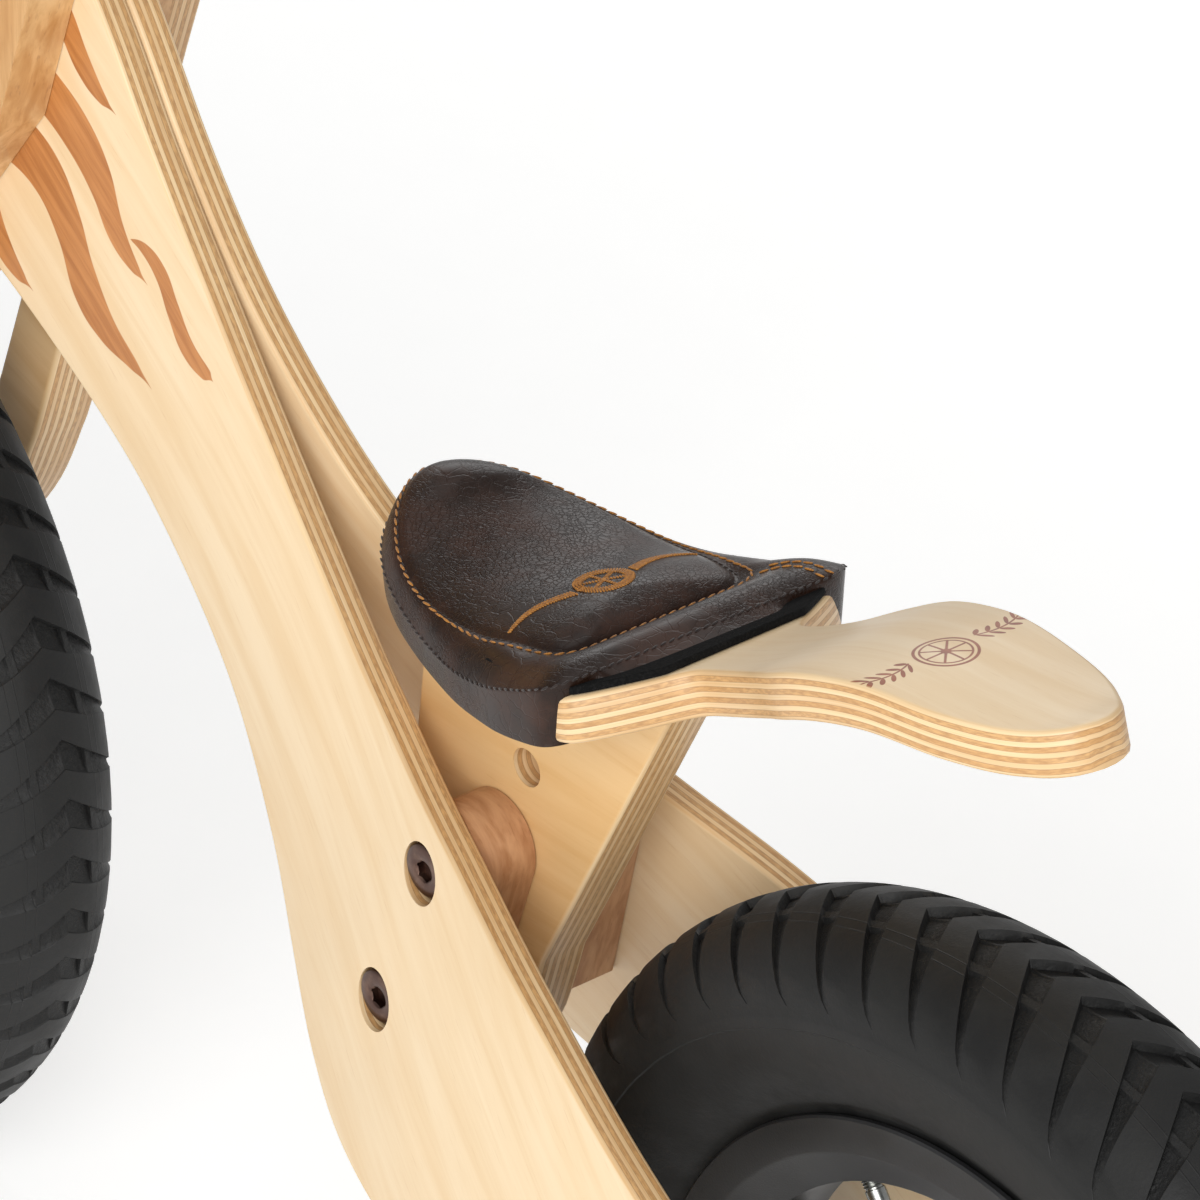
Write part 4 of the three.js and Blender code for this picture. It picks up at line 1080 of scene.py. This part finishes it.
# ---- handlebar and grips ----
# A straight alloy tube, satin anodised, passes through both blades and is pinned with small screws. Soft
# brown rubber grips with ribbed sleeves, a broad inner flange and a rounded end knob are pushed on.
alloy = plated_steel("aluminium_tube_satin_anodised", "#B9BABA", "#CFCFCE", 0.33)
tube = [(9, -188), (10.4, -188), (11, -187.4), (11, 187.4), (10.4, 188), (9, 188)]
bar_middle = on_head(BAR_X, 0, BAR_RISE)
turned_piece("handlebar_tube", [(tube, bar_middle, (0, 1, 0), False)], alloy, "fork", "bar_alloy", "handlebar")
grip_rubber = moulded_nylon("thermoplastic_rubber_grip_brown", "#3A271E", "#4A3327", 0.62)
END = 188.3
grip = [(0, END), (11.3, END), (11.3, 78), (20.4, 78), (21, 78.5), (21, 80.6), (20.2, 81.2), (17, 83.6),
        (16, 85.5)]
for k in range(22):
    y, radius = 89 + 4 * k, 15.9 - 0.04 * k
    grip += [(radius, y), (radius, y + 1.6), (radius - 0.8, y + 2.1), (radius - 0.8, y + 3.5)]
grip += [(15, END - 8), (16.4, END - 5.6), (17.6, END - 3), (18, END), (17.6, END + 2.4), (16.2, END + 4),
         (13, END + 4.8), (0, END + 5)]
for side, name in ((1, "left"), (-1, "right")):
    turned_piece(f"grip_{name}_moulded", [(grip, bar_middle, (0, side, 0), True)], grip_rubber, "fork",
                 "grip_rubber", f"grip_{name}")
    screw = [(0, 423.6), (1.7, 423.6), (1.9, 424), (1.9, 434.3), (3.4, 434.4), (3.5, 435), (3, 435.5),
             (1.3, 435.5), (1.1, 435.1, "hex"), (1.1, 434.8, "hex"), (0, 434.7)]
    turned_piece(f"bar_screw_{name}_turned", [(screw, on_head(-2, side * 53.5, 0), up_head, True)], zinc,
                 "fork", "steel", f"bar_screw_{name}", 24)

# ---- axles ----
# A steel axle passes through each hub, with spacer tubes out to the wood and a domed nut over each end.
for wheel, body, (x, z), outer, inner in (
        ("rear", "frame", (0, TYRE_RADIUS), outer_face(0), inner_face(0)),
        ("front", "fork", (WHEELBASE, TYRE_RADIUS), BLADE_INNER + BLADE_THICK, BLADE_INNER)):
    middle_spot = at(x, 0, z)
    rod = [(0, -outer - 7), (4.6, -outer - 7), (5, -outer - 6.6), (5, outer + 6.6), (4.6, outer + 7),
           (0, outer + 7)]
    turned_piece(f"{wheel}_axle_turned", [(rod, middle_spot, (0, 1, 0), True)], zinc, body, "steel",
                 f"{wheel}_axle")
    for side, name in ((1, "left"), (-1, "right")):
        spacer = [(5.3, 27.3), (8, 27.3), (8.5, 27.8), (8.5, inner - 0.8), (8, inner - 0.3),
                  (5.3, inner - 0.3)]
        turned_piece(f"{wheel}_axle_spacer_{name}_turned", [(spacer, middle_spot, (0, side, 0), False)], zinc,
                     body, "steel", f"{wheel}_axle_spacer_{name}")
        face = outer + 0.3
        dome = [(5.2, face), (10.1, face), (10.5, face + 0.4), (10.5, face + 1.8), (10, face + 2.2),
                (8.6, face + 2.4, "hex"), (8.6, face + 6.6, "hex"), (8.2, face + 7.2), (7.2, face + 9),
                (5, face + 10.5), (2.6, face + 11.2), (0, face + 11.5)]
        turned_piece(f"{wheel}_axle_nut_{name}_turned", [(dome, middle_spot, (0, side, 0), True)], bronze,
                     body, "steel", f"{wheel}_axle_nut_{name}")

# ---- wheels ----
# Black glass-filled nylon wheels with five tapered spokes turn on two sealed bearings each. The fat tyres
# are moulded in matt black rubber, with 56 swept ribs on each side that meet as chevrons in the middle.
RIBS = 56
PITCH = 2 * math.pi / RIBS
RIB_SWEEP = [(0, 0), (4, 1.1), (10, 2.7), (17, 4.7), (22, 6.3), (24.7, 7.5), (25.7, 8.7), (26.5, 9.6)]
RECESS_WIDTH = [(0, 0.48), (10, 0.36), (17, 0.22), (22, 0.14), (26.5, 0.1)]
RECESS_DEPTH = [(0, 2.7), (10, 2.5), (17, 2.1), (22, 1.5), (24.5, 0.8), (26.2, 0.0)]
SECTION_MIDDLE, SECTION_HALF_HEIGHT, SECTION_HALF_WIDTH = 132.5, 25.5, 26.5


def tyre_section():
    """Rows of (radius, across, how much tread) from the middle of the tread down one side to the bead."""
    rows = []
    for y in (0, 0.3, 0.55, 2.5, 4.5, 6.5, 8.0, 8.25, 10.25, 10.5, 13, 15.5, 18, 20.2, 22.2, 23.8, 25, 25.8,
              26.3):
        radius = SECTION_MIDDLE + SECTION_HALF_HEIGHT * math.sqrt(1 - (y / SECTION_HALF_WIDTH) ** 2)
        rows.append((radius, y, 1.0))
    rows += [(135.2, 26.45, 0), (132.6, 26.5, 0), (132.2, 26.15, 0), (128.5, 26.1, 0), (123, 24.9, 0),
             (117.5, 22.2, 0), (113, 19.3, 0), (110, 17.2, 0), (107.6, 15.6, 0), (104.2, 15.2, 0),
             (102.4, 14.6, 0), (102.4, 12.6, 0), (108, 12.8, 0)]
    return rows


def rib_columns(y, depth):
    """(share of the pitch, drop) round one rib and the recess that follows its wall."""
    w = through(RECESS_WIDTH, y)
    step = min(0.5, depth * 0.3)
    return [(-0.3, 0), (-0.16, 0), (-0.02, 0.0), (0.015, depth), (0.03 + (w - 0.03) * 0.4, depth * 0.86),
            (0.03 + (w - 0.03) * 0.8, depth * 0.5), (w, step), (w + 0.012, 0), (0.7, 0)]


rubber, tree, shader = finish_named("rubber_tyre_black_moulded", IOR=1.52, Specular_IOR_Level=0.35)
place = add(tree, "ShaderNodeTexCoord").outputs["Object"]
rough_skin = noise(tree, place, (700, 700, 700), 5, 0.65)
scuff = noise(tree, place, (60, 60, 60), 4, 0.6)
hollow = add(tree, "ShaderNodeAttribute", {"attribute_name": "recess"}).outputs["Fac"]
tone = blend_colours(tree, ease_between(tree, scuff, 0.35, 0.7), linear("#101010"), linear("#1A1A19"))
tone = blend_colours(tree, calc(tree, "MULTIPLY", ease_between(tree, rough_skin, 0.5, 0.75, 0, 0.5), hollow),
                     tone, linear("#2E2E2C"))
# Painted shade: the recesses are darkened further the deeper they lie.
tone = blend_colours(tree, calc(tree, "MULTIPLY", hollow, 0.3), tone, linear("#101010"))
tree.links.new(tone, shader.inputs["Base Color"])
tree.links.new(ease_between(tree, scuff, 0.3, 0.7, 0.5, 0.66), shader.inputs["Roughness"])
across = calc(tree, "ABSOLUTE", add(tree, "ShaderNodeSeparateXYZ", inputs={0: place}).outputs[1])
mould = None
for y in (0.0105, 0.013):
    near = ease_between(tree, calc(tree, "ABSOLUTE", calc(tree, "SUBTRACT", across, y)), 0.0, 0.0002, 1, 0)
    mould = near if mould is None else calc(tree, "ADD", mould, near)
height = calc(tree, "ADD", calc(tree, "MULTIPLY", rough_skin, calc(tree, "ADD", calc(
    tree, "MULTIPLY", hollow, 1.6), 0.35)), calc(tree, "MULTIPLY", mould, 0.5))
emboss(tree, shader, 0.5, 0.0005, height)

turning, group_in, group_out = node_group("repeat_round_the_axle", [
    ("Count", "NodeSocketInt"), ("Step", "NodeSocketFloat"), ("Weld", "NodeSocketFloat"),
    ("Finish", "NodeSocketMaterial")])
spots = add(turning, "GeometryNodePoints", inputs={"Count": group_in.outputs["Count"]})
index = add(turning, "GeometryNodeInputIndex")
angle = calc(turning, "MULTIPLY", index.outputs[0], group_in.outputs["Step"])
spin = add(turning, "ShaderNodeCombineXYZ", inputs={1: angle})
copies = add(turning, "GeometryNodeInstanceOnPoints", inputs={
    "Points": spots.outputs[0], "Instance": group_in.outputs["Geometry"], "Rotation": spin.outputs[0]})
real = add(turning, "GeometryNodeRealizeInstances", inputs={0: copies.outputs[0]})
welded = add(turning, "GeometryNodeMergeByDistance", inputs={
    "Geometry": real.outputs[0], "Distance": group_in.outputs["Weld"]})
finished = add(turning, "GeometryNodeSetMaterial", inputs={
    "Geometry": welded.outputs[0], "Material": group_in.outputs["Finish"]})
turning.links.new(finished.outputs[0], group_out.inputs[0])

section = tyre_section()
rows = [(r, -y, t) for r, y, t in reversed(section[1:])] + section
FIRST_WALL = math.radians(77.5)


def tyre_strip(name, first_wall):
    made = bmesh.new()
    recess = made.verts.layers.float.new("recess")
    grid = []
    for radius, y, tread in rows:
        out = abs(y)
        depth = through(RECESS_DEPTH, out) * tread
        if 8.1 < out < 10.4:
            depth *= 0.45
        if out < 0.4 and tread:
            depth = max(depth - 0.5, 0)
        sweep = math.radians(through(RIB_SWEEP, out) if tread else RIB_SWEEP[-1][1])
        line = []
        for share, drop in rib_columns(out, depth):
            r = (radius - drop) / 1000
            turn = first_wall + sweep + share * PITCH
            vert = made.verts.new((r * math.cos(turn), y / 1000, r * math.sin(turn)))
            vert[recess] = min(drop / 1.2, 1.0)
            line.append(vert)
        grid.append(line)
    for low, high in zip(grid, grid[1:]):
        for i in range(len(low) - 1):
            made.faces.new((low[i], high[i], high[i + 1], low[i + 1]))
    # the inside of the bead closes the shell under the rim
    for i in range(len(grid[0]) - 1):
        made.faces.new((grid[-1][i], grid[0][i], grid[0][i + 1], grid[-1][i + 1]))
    mesh = bpy.data.meshes.new(name)
    made.to_mesh(mesh)
    made.free()
    return mesh


def seated(mesh, name, centre, smooth):
    """The repeated mesh moved to its axle as a finished object, with its faces turned outwards."""
    made = bmesh.new()
    made.from_mesh(mesh)
    bmesh.ops.recalc_face_normals(made, faces=made.faces[:])
    made.transform(Matrix.Translation(centre))
    for face in made.faces:
        face.material_index = 0
    return settle(made, name, rubber, smooth)


def rim_form(made):
    """Ring and hub turned about the axle; the spokes are added by the tree."""
    ring = [(88, -12), (90, -13.4), (97, -17.6), (98, -18.2), (106.4, -18.2), (107, -17.6), (107, -16.4),
            (106.4, -15.8), (101.8, -15.4), (100.6, -14), (95.4, -2), (95, 0), (95.4, 2), (100.6, 14),
            (101.8, 15.4), (106.4, 15.8), (107, 16.4), (107, 17.6), (106.4, 18.2), (98, 18.2), (97, 17.6),
            (90, 13.4), (88, 12), (87.6, 0)]
    turned(made, ring, Vector((0, 0, 0)), (0, 1, 0), 120, False)
    hub = [(8, -16), (14.3, -18.8), (14.3, -26.4), (14.8, -27), (20.2, -27), (21, -26.2), (21, -9),
           (22.5, -6.5), (22.5, 6.5), (21, 9), (21, 26.2), (20.2, 27), (14.8, 27), (14.3, 26.4),
           (14.3, 18.8), (8, 16)]
    turned(made, hub, Vector((0, 0, 0)), (0, 1, 0), 72, False)


def spoke_mesh():
    """One spoke from the hub to the ring, of rounded I section, with its foot and head flared."""
    made = bmesh.new()
    loops = []
    for r, half, deep in ((19, 13.5, 7), (22.5, 11.4, 6.4), (27, 9.6, 5.6), (34, 9.1, 5), (48, 9.9, 5),
                          (62, 11, 5),
                          (74, 12.2, 5.2), (82, 14, 6), (86.5, 17, 7.4), (89.5, 20, 8.6)):
        web = min(deep - 2.2, 2.8)
        loop = []
        flange = 2.6
        points = [(-half, -deep + 1), (-half + 0.6, -deep + 0.2), (-half + 1.2, -deep),
                  (-half + flange, -deep + 0.4), (-half + flange + 1.2, -web), (half - flange - 1.2, -web),
                  (half - flange, -deep + 0.4), (half - 1.2, -deep), (half - 0.6, -deep + 0.2),
                  (half, -deep + 1)]
        points += [(p, -q) for p, q in reversed(points)]
        for p, q in points:
            loop.append(made.verts.new((p / 1000, q / 1000, r / 1000)))
        loops.append(loop)
    for low, high in zip(loops, loops[1:]):
        for i in range(len(low)):
            k = (i + 1) % len(low)
            made.faces.new((low[i], low[k], high[k], high[i]))
    made.faces.new(list(reversed(loops[0])))
    made.faces.new(loops[-1])
    bmesh.ops.recalc_face_normals(made, faces=made.faces[:])
    mesh = bpy.data.meshes.new("spoke")
    made.to_mesh(mesh)
    made.free()
    return mesh


wheel_nylon = moulded_nylon("nylon_wheel_black_glass_filled", "#1A1A1B", "#252526", 0.46)
for wheel, (x, z) in (("rear", (0, TYRE_RADIUS)), ("front", (WHEELBASE, TYRE_RADIUS))):
    centre = at(x, 0, z)
    body = f"{wheel}_wheel"
    strips = made_by(turning, f"{wheel}_tyre_ribs", tyre_strip("strip", FIRST_WALL), {
        "Count": RIBS, "Step": PITCH, "Weld": 0.00002, "Finish": rubber})
    fasten(seated(strips, f"{wheel}_tyre_moulded", centre, 33), body, "tyre_rubber", f"{wheel}_tyre")
    spokes = made_by(turning, f"{wheel}_spokes", spoke_mesh(), {
        "Count": 5, "Step": 2 * math.pi / 5, "Weld": 0.0, "Finish": wheel_nylon})
    made = bmesh.new()
    rim_form(made)
    bmesh.ops.recalc_face_normals(made, faces=made.faces[:])
    made.from_mesh(spokes)
    made.transform(Matrix.Translation(centre))
    fasten(settle(made, f"{wheel}_rim_moulded", wheel_nylon, 40), body, "wheel_nylon", f"{wheel}_rim")
    for side, name in ((1, "left"), (-1, "right")):
        race = [(5.3, 19), (5.3, 27), (7.6, 27), (7.9, 26.6), (8, 26.3), (11.8, 26.3), (11.9, 26.6),
                (12.2, 27), (13.8, 27), (14, 26.8), (14, 19.2), (13.8, 19)]
        turned_piece(f"{wheel}_bearing_{name}_ground", [(race, centre, (0, side, 0), False)], zinc, body,
                     "steel", f"{wheel}_bearing_{name}")
    t = math.radians(36)
    stem = [(0, 76), (2.1, 76), (2.6, 76.6), (2.6, 82), (2.2, 82.2)]
    for k in range(7):
        stem += [(2.2, 82.6 + 0.8 * k), (2.6, 83 + 0.8 * k)]
    stem += [(3, 88.5), (3, 94), (0, 94)]
    turned_piece(f"{wheel}_valve_stem", [(stem, centre, (math.sin(t), 0, math.cos(t)), True)], zinc, body,
                 "steel", f"{wheel}_valve", 24)

# ---- what is left of the hidden fixings ----
# Two countersunk screws under the saddle keep their plain shapes, in zinc-plated steel.
for name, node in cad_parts.items():
    if name.startswith("seat_screw"):
        for held_finish in node.material_slots:
            held_finish.link = "OBJECT"
            held_finish.material = zinc

# ---- floor, light and camera ----
# A pale studio floor under a broad soft light from above and behind the left shoulder.
floor_finish, tree, shader = finish_named("paper_studio_floor_white", Roughness=0.9,
                                          Emission_Color=(1, 1, 1, 1),
                                           Emission_Strength=0.3)
place = add(tree, "ShaderNodeTexCoord").outputs["Object"]
fibre = noise(tree, place, (40, 40, 40), 3)
tree.links.new(blend_colours(tree, fibre, linear("#FAFAF9"), linear("#FDFDFC")), shader.inputs["Base Color"])
made = bmesh.new()
FLOOR = 12
corners = [made.verts.new((x * FLOOR, y * FLOOR, 0)) for x, y in ((-1, -1), (1, -1), (1, 1), (-1, 1))]
made.faces.new(corners)
floor = settle(made, "studio_floor", floor_finish)

studio = bpy.data.worlds.new("studio")
bpy.context.scene.world = studio
studio.use_nodes = True
backdrop = studio.node_tree.nodes["Background"]
backdrop.inputs[0].default_value = (1, 1, 1, 1)
backdrop.inputs[1].default_value = 0.4
bpy.context.scene.view_settings.view_transform = "Standard"
for name, spot, aim, size, power in (
        ("key_softbox", (-1.7, 1.9, 1.5), (0, 0, 0.3), 1.8, 64),
        ("top_softbox", (0.4, -0.4, 2.4), (0, 0, 0.3), 1.4, 6),
        ("rim_softbox", (1.6, -1.6, 1.4), (0, 0, 0.35), 1.2, 9)):
    lamp = bpy.data.lights.new(name, "AREA")
    lamp.size, lamp.energy = size, power
    light = bpy.data.objects.new(name, lamp)
    light.location = spot
    light.rotation_euler = (Vector(aim) - Vector(spot)).to_track_quat("-Z", "Y").to_euler()
    bpy.context.scene.collection.objects.link(light)

CAMERA_SPOT = Vector((-1.3739, 1.0877, 1.3383))
YAW, ROLL = 0.711, 0.020
ahead = Vector((0.65021, -0.55982, -0.51364))
right = Vector((-math.sin(YAW), -math.cos(YAW), 0))
upward = right.cross(ahead)
level_right = right * math.cos(ROLL) + upward * math.sin(ROLL)
level_up = upward * math.cos(ROLL) - right * math.sin(ROLL)
lens = bpy.data.cameras.new("camera")
lens.sensor_width, lens.lens = 36, 240.3
lens.clip_end = 60
camera = bpy.data.objects.new("camera", lens)
camera.matrix_world = Matrix((
    (level_right.x, level_up.x, -ahead.x, CAMERA_SPOT.x),
    (level_right.y, level_up.y, -ahead.y, CAMERA_SPOT.y),
    (level_right.z, level_up.z, -ahead.z, CAMERA_SPOT.z), (0, 0, 0, 1)))
bpy.context.scene.collection.objects.link(camera)
bpy.context.scene.camera = camera
